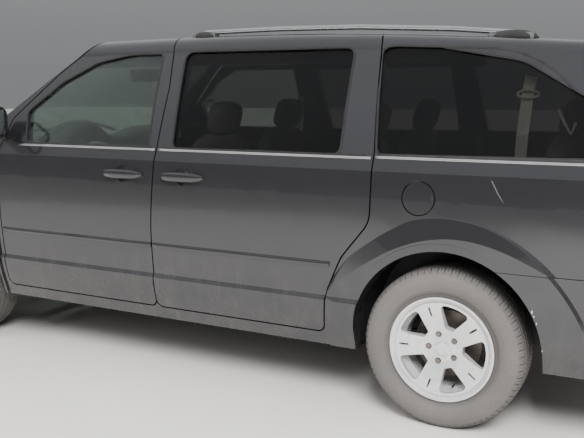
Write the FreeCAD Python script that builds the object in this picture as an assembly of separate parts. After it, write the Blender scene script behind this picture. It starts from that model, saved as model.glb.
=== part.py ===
import FreeCAD, Part

# A five-door passenger van with two hinged front doors and two sliding rear doors.
# Frame: +X forward, +Y to the vehicle's left, +Z up. The origin is on the ground, under the
# middle of the vehicle's length and width. All sizes are in millimetres.

import math
import os

V = FreeCAD.Vector

# Overall size and stance
LENGTH = 5143.0
WHEELBASE = 3078.0
FRONT_OVERHANG = 960.0
HALF_WIDTH = 966.0
FRONT_TRACK = 1664.0
REAR_TRACK = 1645.0
NOSE_X = LENGTH / 2
TAIL_X = -LENGTH / 2
FRONT_AXLE_X = NOSE_X - FRONT_OVERHANG
REAR_AXLE_X = FRONT_AXLE_X - WHEELBASE

# Wheels: a 225/65 tyre on a 17 inch rim
TYRE_RADIUS = 360.0
TYRE_WIDTH = 225.0
RIM_RADIUS = 234.0
RIM_BEAD_RADIUS = 216.0
RIM_WIDTH = 192.0
AXLE_Z = TYRE_RADIUS
DISC_RADIUS = 151.0
DISC_THICKNESS = 26.0
LUG_CIRCLE_RADIUS = 63.5
LUG_HOLE_RADIUS = 8.0
SPOKES = 5
HUB_BORE_CLEARANCE = 0.5
SPINDLE_RADIUS = 30.0

# Heights of the body's lines
VALANCE_BOTTOM = 235.0
SILL_BOTTOM = 300.0
SILL_TOP = 358.0
DOOR_BOTTOM = 365.0
CREASE_Z = 537.0
MOULDING_Z = 700.0
SHOULDER_Z = 1130.0
BELT_Z = 1190.0
ROOF_RAIL_Z = 1668.0
ROOF_Z = 1776.0
DOOR_TOP = 1746.0
WINDOW_BOTTOM = BELT_Z + 8.0

# Depths of the body walls
LOWER_WALL = 110.0
UPPER_WALL = 45.0
SKIN_LAYER = 22.0
FRAME_LAYER = 14.0
PANEL_GAP = 7.0
GLASS_FIT = 0.3
GLASS_THICKNESS = 5.0
FENDER_SHELL = 9.0
DOOR_TOP_Y = 646.0
ROOF_SEAM_Y = 600.0
FIT = 0.3
ROOF_SIDE_Y = ROOF_SEAM_Y + FIT
POST_GAP = 8.0
INNER_FRAME = 52.0

# Door seams along the side
DOOR_FRONT_X = 1137.0
DOOR_MID_LOW_X = 62.0
DOOR_MID_BELT_X = 26.0
DOOR_MID_TOP_X = 58.0
DOOR_REAR_X = -1148.0
DOOR_REAR_TOP_X = -1095.0
DOOR_REAR_LOW_X = REAR_AXLE_X + 557.0

# Wheel arches
ARCH_RADIUS = 418.0
ARCH_Z = 388.0
ARCH_BACKSET = 15.0
FLARE_RADIUS = 558.0
FLARE_CREST = 455.0
FLARE_LIP_SET_IN = 5.0
WELL_GAP = 6.0
WELL_WALL = 7.0
FRONT_WELL_Y = 505.0
REAR_WELL_Y = 620.0
FLARE_PROUD = 10.5

# Half width of the side at each height, at the widest station
# columns: name, half width, height
SIDE_LINE = {
    "sill_bottom": (885.0, VALANCE_BOTTOM),
    "sill_top": (921.0, DOOR_BOTTOM - 2.0),
    "lower_bow": (944.0, 445.0),
    "ledge_low": (958.0, CREASE_Z - 9.0),
    "ledge_high": (948.0, CREASE_Z + 11.0),
    "door_bow": (HALF_WIDTH, 812.0),
    "shoulder": (951.0, SHOULDER_Z),
    "belt": (930.0, BELT_Z),
    "glass_bow": (838.0, 1431.0),
    "rail": (732.0, ROOF_RAIL_Z),
    "rail_bow": (712.0, 1712.0),
    "roof_side": (655.0, 1747.0),
}

# How a wall's depth moves each point of the upper side
# columns: name, share inward, share downward
UPPER_INSET = {
    "belt": (1.0, 0.0),
    "glass_bow": (1.0, 0.0),
    "rail": (1.0, 0.35),
    "rail_bow": (0.9, 0.75),
    "roof_side": (0.6, 1.0),
}

# The rear bumper's side has no ledge
SMOOTH_SIDE = dict(
    SIDE_LINE,
    ledge_low=(953.5, CREASE_Z - 9.0),
    ledge_high=(955.0, CREASE_Z + 11.0),
)

# columns: station, how far the sides come in, how far the roof drops
STATIONS = [
    (-2700.0, 62.0, 144.0),
    (-2150.0, 20.0, 98.0),
    (-1600.0, 4.0, 55.0),
    (-900.0, 0.0, 13.0),
    (-200.0, 0.0, 0.0),
    (600.0, 0.0, 6.0),
    (1300.0, 1.0, 16.0),
    (2000.0, 5.0, 24.0),
    (2700.0, 34.0, 30.0),
]
UPPER_STATIONS = 8

# Crowned top surfaces: the windscreen line runs on into the bonnet
CROWN_RADIUS = 3700.0
SCREEN_TOP = (400.0, 1925.5)
COWL = (1647.0, 1115.0)
SCREEN_SLOPE = (SCREEN_TOP[1] - COWL[1]) / (COWL[0] - SCREEN_TOP[0])
# columns: station, height on the centre line, shoulder radius
BONNET_LINE = [
    (COWL[0], COWL[1], 100.0),
    (1950.0, 1083.0, 120.0),
    (2250.0, 1024.0, 130.0),
    (2440.0, 962.0, 130.0),
    (2700.0, 850.0, 130.0),
]
# Ends of the body in plan, level by level
# columns: height, furthest reach along x, half width, face radius, corner radius
NOSE_LEVELS = [
    (170.0, 2440.0, 950.0, 1700.0, 400.0),
    (300.0, 2540.0, 986.0, 1700.0, 420.0),
    (440.0, NOSE_X, 990.0, 1700.0, 420.0),
    (570.0, 2562.0, 990.0, 1700.0, 420.0),
    (700.0, 2524.0, 990.0, 1700.0, 420.0),
    (860.0, 2476.0, 990.0, 1700.0, 420.0),
    (1130.0, 2390.0, 990.0, 1700.0, 420.0),
]
GATE_LEVELS = [
    (640.0, 2482.0, 992.0, 2600.0, 150.0),
    (960.0, 2466.0, 990.0, 2600.0, 140.0),
    (1130.0, 2450.0, 972.0, 2600.0, 130.0),
    (1190.0, 2440.0, 950.0, 2600.0, 120.0),
    (1430.0, 2345.0, 856.0, 2600.0, 110.0),
    (1665.0, 2235.0, 752.0, 2600.0, 100.0),
    (1800.0, 2165.0, 690.0, 2600.0, 100.0),
]
BUMPER_LEVELS = [
    (250.0, 2500.0, 950.0, 2600.0, 190.0),
    (400.0, 2560.0, 988.0, 2600.0, 190.0),
    (540.0, -TAIL_X, 992.0, 2600.0, 190.0),
    (660.0, 2562.0, 994.0, 2600.0, 190.0),
    (760.0, 2520.0, 994.0, 2600.0, 190.0),
]

LEFT, RIGHT = 1, -1


def export(name, shape):
    """Writes one named piece as a STEP file."""
    solids = [s for s in shape.Solids if s.Volume > 50.0]
    body = Part.makeCompound(solids) if len(solids) > 1 else solids[0]
    os.makedirs("parts", exist_ok=True)
    body.exportStep(os.path.join("parts", name + ".step"))


def mirrored(shape):
    """The same piece on the vehicle's right side."""
    return shape.mirror(V(0, 0, 0), V(0, 1, 0))


def box(x0, x1, y0, y1, z0, z1):
    return Part.makeBox(x1 - x0, y1 - y0, z1 - z0, V(x0, y0, z0))


def tube_between(a, b, radius):
    """A round bar from point a to point b."""
    axis = V(*b) - V(*a)
    length = axis.Length
    axis.normalize()
    return Part.makeCylinder(radius, length, V(*a), axis)


def bent_tube(points, radius, bend):
    """A round bar along straight runs joined by arcs of one bend radius."""
    spots = [V(*p) for p in points]
    edges = []
    start = spots[0]
    for before, here, after in zip(spots, spots[1:], spots[2:]):
        a, b = here - before, after - here
        a.normalize()
        b.normalize()
        angle = a.getAngle(b)
        reach = bend * math.tan(angle / 2)
        inward = b - a
        inward.normalize()
        centre = here + inward * (bend / math.cos(angle / 2))
        edges.append(Part.LineSegment(start, here - a * reach).toShape())
        arc = Part.Arc(here - a * reach, centre - inward * bend, here + b * reach)
        edges.append(arc.toShape())
        start = here + b * reach
    edges.append(Part.LineSegment(start, spots[-1]).toShape())
    first = spots[1] - spots[0]
    circle = Part.Wire([Part.Circle(spots[0], first, radius).toShape()])
    return Part.Wire(edges).makePipeShell([circle], True, False)


def fuse_all(shapes):
    whole = shapes[0]
    if len(shapes) > 1:
        whole = shapes[0].multiFuse(shapes[1:])
    return whole


# Outlines: closed rings of (u, v, corner radius), counter-clockwise


def inset(outline, distance):
    """The outline moved inward by distance, or outward where it is negative."""
    count = len(outline)
    moved = []
    for i in range(count):
        before, here, after = outline[i - 1], outline[i], outline[(i + 1) % count]
        d1 = (here[0] - before[0], here[1] - before[1])
        d2 = (after[0] - here[0], after[1] - here[1])
        l1, l2 = math.hypot(*d1), math.hypot(*d2)
        d1, d2 = (d1[0] / l1, d1[1] / l1), (d2[0] / l2, d2[1] / l2)
        turn = d1[0] * d2[1] - d1[1] * d2[0]
        half = 1.0 + d1[0] * d2[0] + d1[1] * d2[1]
        nx, ny = -(d1[1] + d2[1]), d1[0] + d2[0]
        shift = distance / half
        radius = here[2] - distance if turn > 0 else here[2] + distance
        moved.append((here[0] + nx * shift, here[1] + ny * shift, max(radius, 0.0)))
    return moved


def ring(outline, place):
    """A wire of lines and corner arcs; place turns (u, v) into a point."""
    count = len(outline)
    corners = []
    for i in range(count):
        before, here, after = outline[i - 1], outline[i], outline[(i + 1) % count]
        a = V(before[0] - here[0], before[1] - here[1], 0)
        b = V(after[0] - here[0], after[1] - here[1], 0)
        a.normalize()
        b.normalize()
        angle = a.getAngle(b)
        p = V(here[0], here[1], 0)
        if here[2] < 0.2 or angle > math.pi - 1e-3:
            corners.append((p, None, p))
            continue
        reach = here[2] / math.tan(angle / 2)
        middle = a + b
        middle.normalize()
        centre = p + middle * (here[2] / math.sin(angle / 2))
        corners.append((p + a * reach, centre - middle * here[2], p + b * reach))
    edges = []
    for i in range(count):
        start, mid, end = corners[i]
        if mid is not None:
            edges.append(Part.Arc(place(start), place(mid), place(end)).toShape())
        following = corners[(i + 1) % count][0]
        if (following - end).Length > 1e-4:
            edges.append(Part.LineSegment(place(end), place(following)).toShape())
    return Part.Wire(edges)


def side_prism(outline, y0, y1):
    """An outline in the side view, (x, z), run across from y0 to y1."""
    wire = ring(outline, lambda p: V(p.x, y0, p.y))
    return Part.Face(wire).extrude(V(0, y1 - y0, 0))


def plan_prism(outline, z0, z1):
    """An outline seen from above, (x, y), run up from z0 to z1."""
    wire = ring(outline, lambda p: V(p.x, p.y, z0))
    return Part.Face(wire).extrude(V(0, 0, z1 - z0))


def end_prism(outline, x0, x1):
    """An outline seen along the length, (y, z), run from x0 to x1."""
    wire = ring(outline, lambda p: V(x0, p.x, p.y))
    return Part.Face(wire).extrude(V(x1 - x0, 0, 0))


# The body's outer volume, in blocks that can be taken in by a wall's depth


def lower_block(depth, side_line=SIDE_LINE):
    """The body below the belt, with its sides taken in by depth."""
    wires = []
    for x, taper, drop in STATIONS:
        side = {k: (y - taper - depth, z) for k, (y, z) in side_line.items()}

        def at(name, sign):
            return V(x, sign * side[name][0], side[name][1])

        left = [
            Part.LineSegment(at("sill_bottom", 1), at("sill_top", 1)),
            Part.Arc(at("sill_top", 1), at("lower_bow", 1), at("ledge_low", 1)),
            Part.LineSegment(at("ledge_low", 1), at("ledge_high", 1)),
            Part.Arc(at("ledge_high", 1), at("door_bow", 1), at("shoulder", 1)),
            Part.LineSegment(at("shoulder", 1), at("belt", 1)),
        ]
        right = [
            Part.LineSegment(at("belt", -1), at("shoulder", -1)),
            Part.Arc(at("shoulder", -1), at("door_bow", -1), at("ledge_high", -1)),
            Part.LineSegment(at("ledge_high", -1), at("ledge_low", -1)),
            Part.Arc(at("ledge_low", -1), at("lower_bow", -1), at("sill_top", -1)),
            Part.LineSegment(at("sill_top", -1), at("sill_bottom", -1)),
        ]
        across = [Part.LineSegment(at("belt", 1), at("belt", -1))]
        under = [Part.LineSegment(at("sill_bottom", -1), at("sill_bottom", 1))]
        wires.append(Part.Wire([e.toShape() for e in left + across + right + under]))
    return Part.makeLoft(wires, True, False)


def upper_block(depth):
    """The glasshouse and roof above the belt, with its walls taken in by depth."""
    wires = []
    for x, taper, drop in STATIONS[:UPPER_STATIONS]:

        def at(name, sign):
            y, z = SIDE_LINE[name]
            inward, downward = UPPER_INSET[name]
            above = (z - BELT_Z) / (ROOF_Z - BELT_Z)
            lowered = z - drop * above**2 - depth * downward
            return V(x, sign * (y - taper * (1 + above * 0.5) - depth * inward), lowered)

        top = V(x, 0, ROOF_Z - drop - depth)
        edges = [
            Part.Arc(at("belt", 1), at("glass_bow", 1), at("rail", 1)),
            Part.Arc(at("rail", 1), at("rail_bow", 1), at("roof_side", 1)),
            Part.Arc(at("roof_side", 1), top, at("roof_side", -1)),
            Part.Arc(at("roof_side", -1), at("rail_bow", -1), at("rail", -1)),
            Part.Arc(at("rail", -1), at("glass_bow", -1), at("belt", -1)),
            Part.LineSegment(at("belt", -1), at("belt", 1)),
        ]
        wires.append(Part.Wire([e.toShape() for e in edges]))
    return Part.makeLoft(wires, True, False)


def cap_wire(tip, half_width, face_radius, corner_radius, back, place):
    """A rounded end: straight sides, corner arcs and one face arc.

    place turns (along, across) into a point. The face reaches out to tip.
    """
    centre = tip - face_radius
    across = half_width - corner_radius
    along = centre + math.sqrt((face_radius - corner_radius) ** 2 - across**2)
    reach = face_radius / (face_radius - corner_radius)
    meet = (centre + (along - centre) * reach, across * reach)
    bow = math.atan2(meet[1], meet[0] - centre) / 2 + math.pi / 4
    middle = (
        along + corner_radius * math.cos(bow),
        across + corner_radius * math.sin(bow),
    )
    points = [
        (back, half_width),
        (along, half_width),
        middle,
        meet,
        (tip, 0.0),
        (meet[0], -meet[1]),
        (middle[0], -middle[1]),
        (along, -half_width),
        (back, -half_width),
    ]
    p = [place(*q) for q in points]
    edges = [
        Part.LineSegment(p[0], p[1]),
        Part.Arc(p[1], p[2], p[3]),
        Part.Arc(p[3], p[4], p[5]),
        Part.Arc(p[5], p[6], p[7]),
        Part.LineSegment(p[7], p[8]),
        Part.LineSegment(p[8], p[0]),
    ]
    return Part.Wire([e.toShape() for e in edges])


def end_block(levels, sign, depth, back=200.0, ruled=False):
    """One end of the body, shaped in plan, level by level."""
    wires = [
        cap_wire(
            reach - depth,
            half - depth,
            face - depth,
            corner - min(depth, corner * 0.6),
            back,
            lambda along, across, z=z: V(sign * along, sign * across, z),
        )
        for z, reach, half, face, corner in levels
    ]
    return Part.makeLoft(wires, True, ruled)


def screen_block(depth):
    """Everything below the windscreen's surface, back to the roof."""
    drop = depth * math.hypot(1.0, SCREEN_SLOPE)
    wires = [
        cap_wire(
            z - drop,
            1010.0 - depth,
            CROWN_RADIUS - depth,
            corner,
            100.0,
            lambda along, across, x=x: V(x, across, along),
        )
        for x, z, corner in (
            (TAIL_X - 200, COWL[1] + SCREEN_SLOPE * (COWL[0] - TAIL_X + 200), 60.0),
            (SCREEN_TOP[0], SCREEN_TOP[1], 60.0),
            (COWL[0], COWL[1], BONNET_LINE[0][2]),
        )
    ]
    return Part.makeLoft(wires, True, True)


def bonnet_block(depth):
    """Everything below the bonnet's crowned surface."""
    wires = [
        cap_wire(
            z - depth,
            987.0 - depth,
            CROWN_RADIUS - depth,
            corner,
            100.0,
            lambda along, across, x=x: V(x, across, along),
        )
        for x, z, corner in BONNET_LINE
    ]
    return Part.makeLoft(wires, True, False)


def cabin_block(low, high):
    """The lower body and glasshouse, taken in by their walls' depths."""
    screen = screen_block(high)
    low_part = lower_block(low).common(box(TAIL_X, COWL[0], -1100, 1100, 100, BELT_Z))
    gate = end_block(GATE_LEVELS, -1, high, ruled=True)
    rear = box(-2800, -300, -1100, 1100, 640, 1900)
    whole = low_part.common(screen).fuse(upper_block(high).common(screen))
    return whole.cut(rear.cut(gate))


def clip_block(depth):
    """The front of the body from the cowl to the nose, taken in by depth."""
    rear = screen_block(depth).common(box(1000, COWL[0], -1100, 1100, 100, 1190))
    top = rear.fuse(bonnet_block(depth))
    return lower_block(depth).common(top).common(end_block(NOSE_LEVELS, 1, depth))


class Body:
    """The blocks that several panels share, built once."""

    cabin = cabin_block(0.0, 0.0)
    hollow = cabin_block(LOWER_WALL, UPPER_WALL)
    shell = cabin.cut(hollow)
    clip = clip_block(0.0)
    clip_skin = clip.cut(clip_block(FENDER_SHELL))


def door_zone(outline, low_skin, low_wall, high_skin, high_wall):
    """A side panel of lower body and window frame over one outline.

    Each is given by the depths where its wall starts and ends.
    """
    zone = side_prism(outline, DOOR_TOP_Y, 1030.0)
    band = box(-2700, 2700, 500, 1100, 100, BELT_Z)
    low = zone.common(band).common(lower_block(low_skin)).cut(lower_block(low_wall))
    above = zone.cut(band).common(upper_block(high_skin)).common(screen_block(high_skin))
    return low.fuse(above.cut(upper_block(high_wall)))


FRONT_DOOR = [
    (DOOR_MID_LOW_X, DOOR_BOTTOM, 40.0),
    (DOOR_FRONT_X, DOOR_BOTTOM, 40.0),
    (DOOR_FRONT_X, 1150.0, 60.0),
    (1075.0, 1325.0, 60.0),
    (800.0, 1572.0, 90.0),
    (560.0, DOOR_TOP + 8.0, 120.0),
    (DOOR_MID_TOP_X, DOOR_TOP + 8.0, 25.0),
    (DOOR_MID_BELT_X - 4.0, 1500.0, 400.0),
    (DOOR_MID_BELT_X, BELT_Z, 400.0),
    (DOOR_MID_LOW_X - 8.0, 800.0, 400.0),
]
SLIDING_DOOR = [
    (DOOR_REAR_LOW_X, DOOR_BOTTOM, 40.0),
    (DOOR_MID_LOW_X, DOOR_BOTTOM, 40.0),
    (DOOR_MID_LOW_X - 8.0, 800.0, 400.0),
    (DOOR_MID_BELT_X, BELT_Z, 400.0),
    (DOOR_MID_BELT_X - 4.0, 1500.0, 400.0),
    (DOOR_MID_TOP_X, DOOR_TOP + 8.0, 25.0),
    (-500.0, DOOR_TOP + 8.0, 2000.0),
    (DOOR_REAR_TOP_X, DOOR_TOP - 6.0, 60.0),
    (DOOR_REAR_X - 4.0, 1210.0, 200.0),
    (DOOR_REAR_X, 905.0, 130.0),
    (-1010.0, 735.0, 200.0),
    (-930.0, 560.0, 200.0),
]
FRONT_WINDOW = [
    (84.0, WINDOW_BOTTOM, 20.0),
    (932.0, WINDOW_BOTTOM, 22.0),
    (968.0, 1362.0, 30.0),
    (760.0, 1520.0, 120.0),
    (540.0, 1625.0, 160.0),
    (330.0, 1662.0, 300.0),
    (112.0, 1664.0, 26.0),
    (100.0, 1400.0, 300.0),
]
SLIDING_WINDOW = [
    (-985.0, WINDOW_BOTTOM, 30.0),
    (-72.0, WINDOW_BOTTOM, 24.0),
    (-38.0, 1668.0, 40.0),
    (-972.0, 1664.0, 40.0),
]
QUARTER_WINDOW = [
    (-2160.0, WINDOW_BOTTOM + 16.0, 40.0),
    (-1166.0, WINDOW_BOTTOM + 6.0, 26.0),
    (-1110.0, 1668.0, 36.0),
    (-1380.0, 1655.0, 300.0),
    (-1740.0, 1590.0, 260.0),
    (-2020.0, 1430.0, 140.0),
]
HALF_GAP = PANEL_GAP / 2
HANDLE_FRONT_X = 226.0
HANDLE_REAR_X = -149.5
HANDLE_Z = 1063.0
HANDLE_SKIN_Y = 957.7
CUP_RADIUS = 70.0
CUP_DEPTH = 17.0
SEAL_STEP = 25.0
HINGE_X = DOOR_FRONT_X + 75.0
HINGE_Y = HALF_WIDTH - 32.0
HINGE_RADIUS = 8.0
HINGE_HEIGHTS = (640.0, 960.0)
HINGE_TALL = 60.0
ARM_HALF = 4.0
# columns: distance ahead of the hinge line, distance outboard of it
ARM_PATH = [(0.0, 0.0), (-14.0, -46.0), (-52.0, -82.0), (-104.0, -82.0)]


def door_panel(outline, window):
    """A door: a full skin over a body that steps in for the seals."""
    skin = door_zone(inset(outline, HALF_GAP), 0.0, SKIN_LAYER, 0.0, FRAME_LAYER)
    inner = inset(outline, SEAL_STEP)
    body = door_zone(inner, SKIN_LAYER, LOWER_WALL, FRAME_LAYER, UPPER_WALL)
    return skin.fuse(body).cut(side_prism(window, 500, 1100))


def glass_pane(window, depth=9.0):
    """A curved pane set a little inside its frame's outer face."""
    pane = side_prism(inset(window, GLASS_FIT), 560.0, 1030.0)
    pane = pane.common(upper_block(depth))
    return pane.cut(upper_block(depth + GLASS_THICKNESS))


def handle_cup(x):
    """The hollow behind a door handle's grip, cut into the skin."""
    out = HANDLE_SKIN_Y + CUP_RADIUS - CUP_DEPTH
    return Part.makeSphere(CUP_RADIUS, V(x, out, HANDLE_Z))


def front_door():
    panel = door_panel(FRONT_DOOR, FRONT_WINDOW).cut(handle_cup(HANDLE_FRONT_X))
    for z in HINGE_HEIGHTS:
        z0 = z - HINGE_TALL / 2
        barrel = Part.makeCylinder(HINGE_RADIUS, HINGE_TALL, V(HINGE_X, HINGE_Y, z0))
        arm = [barrel]
        for a, b in zip(ARM_PATH, ARM_PATH[1:]):
            angle = math.atan2(b[1] - a[1], b[0] - a[0])
            nx, ny = -math.sin(angle) * ARM_HALF, math.cos(angle) * ARM_HALF
            ax, ay = HINGE_X + a[0], HINGE_Y + a[1]
            bx, by = HINGE_X + b[0], HINGE_Y + b[1]
            plate = [
                (ax + nx, ay + ny, 0.0),
                (ax - nx, ay - ny, 0.0),
                (bx - nx, by - ny, 0.0),
                (bx + nx, by + ny, 0.0),
            ]
            arm.append(plan_prism(plate, z0, z0 + HINGE_TALL))
            arm.append(Part.makeCylinder(ARM_HALF, HINGE_TALL, V(bx, by, z0)))
        panel = panel.fuse(fuse_all(arm))
    return panel


# Openings cut by the wheels, the windscreen and the tailgate
ARCHES = (FRONT_AXLE_X - ARCH_BACKSET * 0.4, REAR_AXLE_X - ARCH_BACKSET)
WINDSCREEN = [
    (690.0, -660.0, 60.0),
    (1008.0, -778.0, 500.0),
    (1300.0, -838.0, 900.0),
    (1580.0, -858.0, 60.0),
    (1612.0, 0.0, 3000.0),
    (1580.0, 858.0, 60.0),
    (1300.0, 838.0, 900.0),
    (1008.0, 778.0, 500.0),
    (690.0, 660.0, 60.0),
    (668.0, 0.0, 3000.0),
]
GATE = [
    (-690.0, 655.0, 50.0),
    (690.0, 655.0, 50.0),
    (735.0, 1180.0, 400.0),
    (604.0, 1745.0, 10.0),
    (-604.0, 1745.0, 10.0),
    (-735.0, 1180.0, 400.0),
]
GATE_WINDOW = [
    (-650.0, 1200.0, 50.0),
    (650.0, 1200.0, 50.0),
    (540.0, 1610.0, 60.0),
    (-540.0, 1610.0, 60.0),
]
PLATE_X = -2452.0
PLATE_HOLE_Z = 905.0
PLATE_HOLE_SPACING = 178.0
PLATE_HOLE_RADIUS = 3.0
PLATE_RECESS = [
    (-170.0, PLATE_HOLE_Z - 140, 20.0),
    (170.0, PLATE_HOLE_Z - 140, 20.0),
    (170.0, PLATE_HOLE_Z + 30, 20.0),
    (-170.0, PLATE_HOLE_Z + 30, 20.0),
]
GATE_HINGE_X = -2130.0
GATE_HINGE_Z = 1650.0
GATE_NOSE_RADIUS = 31.0
GATE_NOSE_HALF = 594.0
GATE_SWING_GAP = 12.0
GATE_CORNER_GAP = 18.0
GATE_CORNER_Y = 617.0
GATE_CORNER_DEPTH = 8.0
LAMP_REAR = [
    (-2600.0, 905.0, 5.0),
    (-2335.0, 905.0, 30.0),
    (-2300.0, 1180.0, 200.0),
    (-2262.0, 1400.0, 20.0),
    (-2600.0, 1440.0, 5.0),
]
BUMPER_SEAM_Z = 740.0
FENDER_TOP_Z = 1122.0
HOOD = [
    (1692.0, -838.0, 30.0),
    (2180.0, -812.0, 500.0),
    (2420.0, -650.0, 160.0),
    (2520.0, 0.0, 900.0),
    (2420.0, 650.0, 160.0),
    (2180.0, 812.0, 500.0),
    (1692.0, 838.0, 30.0),
]
HOOD_LIP_Z = 868.0
HOOD_SKIN = 14.0
HOOD_HINGE_X = 1702.0
HOOD_HINGE_Z = 1052.0
HOOD_ARM_WIDTH = 60.0
HOOD_ARMS_Y = (-500.0, 500.0 - HOOD_ARM_WIDTH)
HOOD_EAR = 7.4
NOSE_SEAM_Z = 655.0
GRILLE_HALF = 470.0
LAMP_FRONT = [
    (2290.0, NOSE_SEAM_Z, 40.0),
    (2700.0, NOSE_SEAM_Z, 5.0),
    (2700.0, HOOD_LIP_Z, 5.0),
    (2110.0, HOOD_LIP_Z + 8.0, 30.0),
]
FUEL_X = REAR_AXLE_X + 99.0
FUEL_Z = 1024.0
FUEL_RADIUS = 70.0


def arch_cut(x, radius=ARCH_RADIUS, y0=400.0, y1=1100.0):
    """The wheel opening: a round arch that runs on down to the ground."""
    arch = Part.makeCylinder(radius, y1 - y0, V(x, y0, ARCH_Z), V(0, 1, 0))
    return arch.fuse(box(x - radius, x + radius, y0, y1, 0, ARCH_Z))


def well_cut(x, inner_y):
    """Room for a wheel well and its lining, in a piece that stands beside it."""
    radius = ARCH_RADIUS + WELL_GAP + WELL_WALL + FIT
    return arch_cut(x, radius, inner_y - WELL_WALL - FIT, 1100.0)


def flare(x, side_line=SIDE_LINE):
    """The lip that stands proud round a wheel opening, faired to the side.

    It lies between the panel's inner face and the flare's own outer face.
    """
    profile = [
        (0.0, 840.0),
        (FLARE_RADIUS + 40, 840.0),
        (FLARE_RADIUS + 40, HALF_WIDTH - 22.0),
        (FLARE_RADIUS, HALF_WIDTH - 2.0),
        (FLARE_CREST, HALF_WIDTH + FLARE_PROUD),
        (FLARE_CREST - 4, HALF_WIDTH + FLARE_PROUD - FLARE_LIP_SET_IN),
        (0.0, HALF_WIDTH + FLARE_PROUD - FLARE_LIP_SET_IN),
    ]
    points = [V(x + r, y, ARCH_Z) for r, y in profile]
    face = Part.Face(Part.makePolygon(points + [points[0]]))
    lip = face.revolve(V(x, 0, ARCH_Z), V(0, 1, 0), 360)
    reach = FLARE_RADIUS + 45.0
    lip = lip.common(box(x - reach, x + reach, 800, 1100, VALANCE_BOTTOM, 1000))
    lip = lip.common(lower_block(-FLARE_PROUD, side_line))
    return lip.cut(lower_block(FENDER_SHELL, side_line))


def post(x0, x1, near, far, low, high):
    """An upright behind the side's surface, flat-faced, between two depths."""

    def half_width(z):
        rows = list(SIDE_LINE.values())
        for (y0, z0), (y1, z1) in zip(rows, rows[1:]):
            if z0 <= z <= z1:
                return y0 + (y1 - y0) * (z - z0) / (z1 - z0)

    levels = [low] + [z for y, z in SIDE_LINE.values() if low < z < high] + [high]
    outer = [(half_width(z) - near, z, 0.0) for z in levels]
    inner = [(half_width(z) - far, z, 0.0) for z in reversed(levels)]
    return end_prism(outer + inner, x0, x1)


def body_side():
    """The left side: quarter panel, roof edge, windscreen pillar, sill and posts."""
    tie = box(-2100, 640, ROOF_SIDE_Y, DOOR_TOP_Y - 8, 1500, 1810)
    rail_depth = UPPER_WALL + 50.0
    hollow = Body.hollow.cut(tie.cut(upper_block(rail_depth)))
    shell = Body.cabin.common(box(TAIL_X, 1700, ROOF_SIDE_Y, 1100, SILL_BOTTOM, 1900)).cut(hollow)
    rear_x = ARCHES[1]
    lip = flare(rear_x).common(box(rear_x - 600, rear_x + 545, 500, 1100, SILL_BOTTOM, 1000))
    shell = shell.fuse(lip)
    cutters = [
        side_prism(inset(FRONT_DOOR, -HALF_GAP), DOOR_TOP_Y - 7, 1100),
        side_prism(inset(SLIDING_DOOR, -HALF_GAP), DOOR_TOP_Y - 7, 1100),
        side_prism(QUARTER_WINDOW, 500, 1100),
        arch_cut(rear_x),
        box(DOOR_FRONT_X + HALF_GAP, 1800, 500, 1100, 0, FENDER_TOP_Z + FIT),
        plan_prism(WINDSCREEN, 1000, 1800),
        end_prism(inset(GATE, -HALF_GAP), -2700, GATE_HINGE_X + GATE_CORNER_GAP),
        box(-2700, REAR_AXLE_X - 200, 300, 1100, 200, BUMPER_SEAM_Z + 2),
        side_prism(LAMP_REAR, 500, 1100),
    ]
    shell = shell.cut(cutters)
    rail = upper_block(UPPER_WALL + POST_GAP).common(box(-1200, 640, DOOR_TOP_Y - 9, 720, 1600, 1710))
    rail = rail.cut(upper_block(rail_depth - 5.0))
    parts = [
        shell,
        rail,
        post(-50, 120, LOWER_WALL + POST_GAP, LOWER_WALL + 55, SILL_BOTTOM + 20, BELT_Z),
        post(-25, 105, UPPER_WALL + POST_GAP + 7, UPPER_WALL + 42, BELT_Z + 8, 1638),
        box(-25, 105, 765, 862, BELT_Z + 8, 1240),
        box(-25, 105, 765, 811, 1150, 1240),
        box(-50, 120, 770, 830, SILL_BOTTOM + 20, SILL_TOP),
        post(1150, 1290, 28, 150, SILL_BOTTOM, FENDER_TOP_Z + 40).cut(
            well_cut(ARCHES[0], FRONT_WELL_Y)
        ),
    ]
    side = fuse_all(parts)
    for z in HINGE_HEIGHTS:
        z0 = z - HINGE_TALL / 2 - 8
        side = side.cut(box(1100, HINGE_X + 16, 826, 1100, z0, z0 + HINGE_TALL + 16))
        side = side.fuse(pintle(z0))
    side = side.cut(screen_top_cut())
    return side


def pintle(z0):
    """Fixed hinge ears above and below a door hinge's barrel."""
    ear_x = HINGE_X + 14.0
    top = z0 + HINGE_TALL + 9
    low = box(HINGE_X - 6, ear_x, HINGE_Y - 40, HINGE_Y + 6, z0 - 1, z0 + 7)
    high = box(HINGE_X - 6, ear_x, HINGE_Y - 40, HINGE_Y + 6, top, top + 8)
    return low.fuse(high)


def screen_top_cut():
    """Trims whatever stands above the windscreen and bonnet line."""
    return box(400, 1800, 500, 1100, 1000, 1900).cut(screen_block(0.0))


def roof_panel():
    half = ROOF_SEAM_Y - FIT
    shell = Body.shell.common(box(GATE_HINGE_X, 900, -half, half, 1450, 1900))
    nose = Part.makeCylinder(
        GATE_NOSE_RADIUS + GATE_SWING_GAP, 1300, V(GATE_HINGE_X, -650, GATE_HINGE_Z), V(0, 1, 0)
    )
    shell = shell.cut(nose).cut(plan_prism(WINDSCREEN, 1000, 1800))
    return shell


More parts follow.
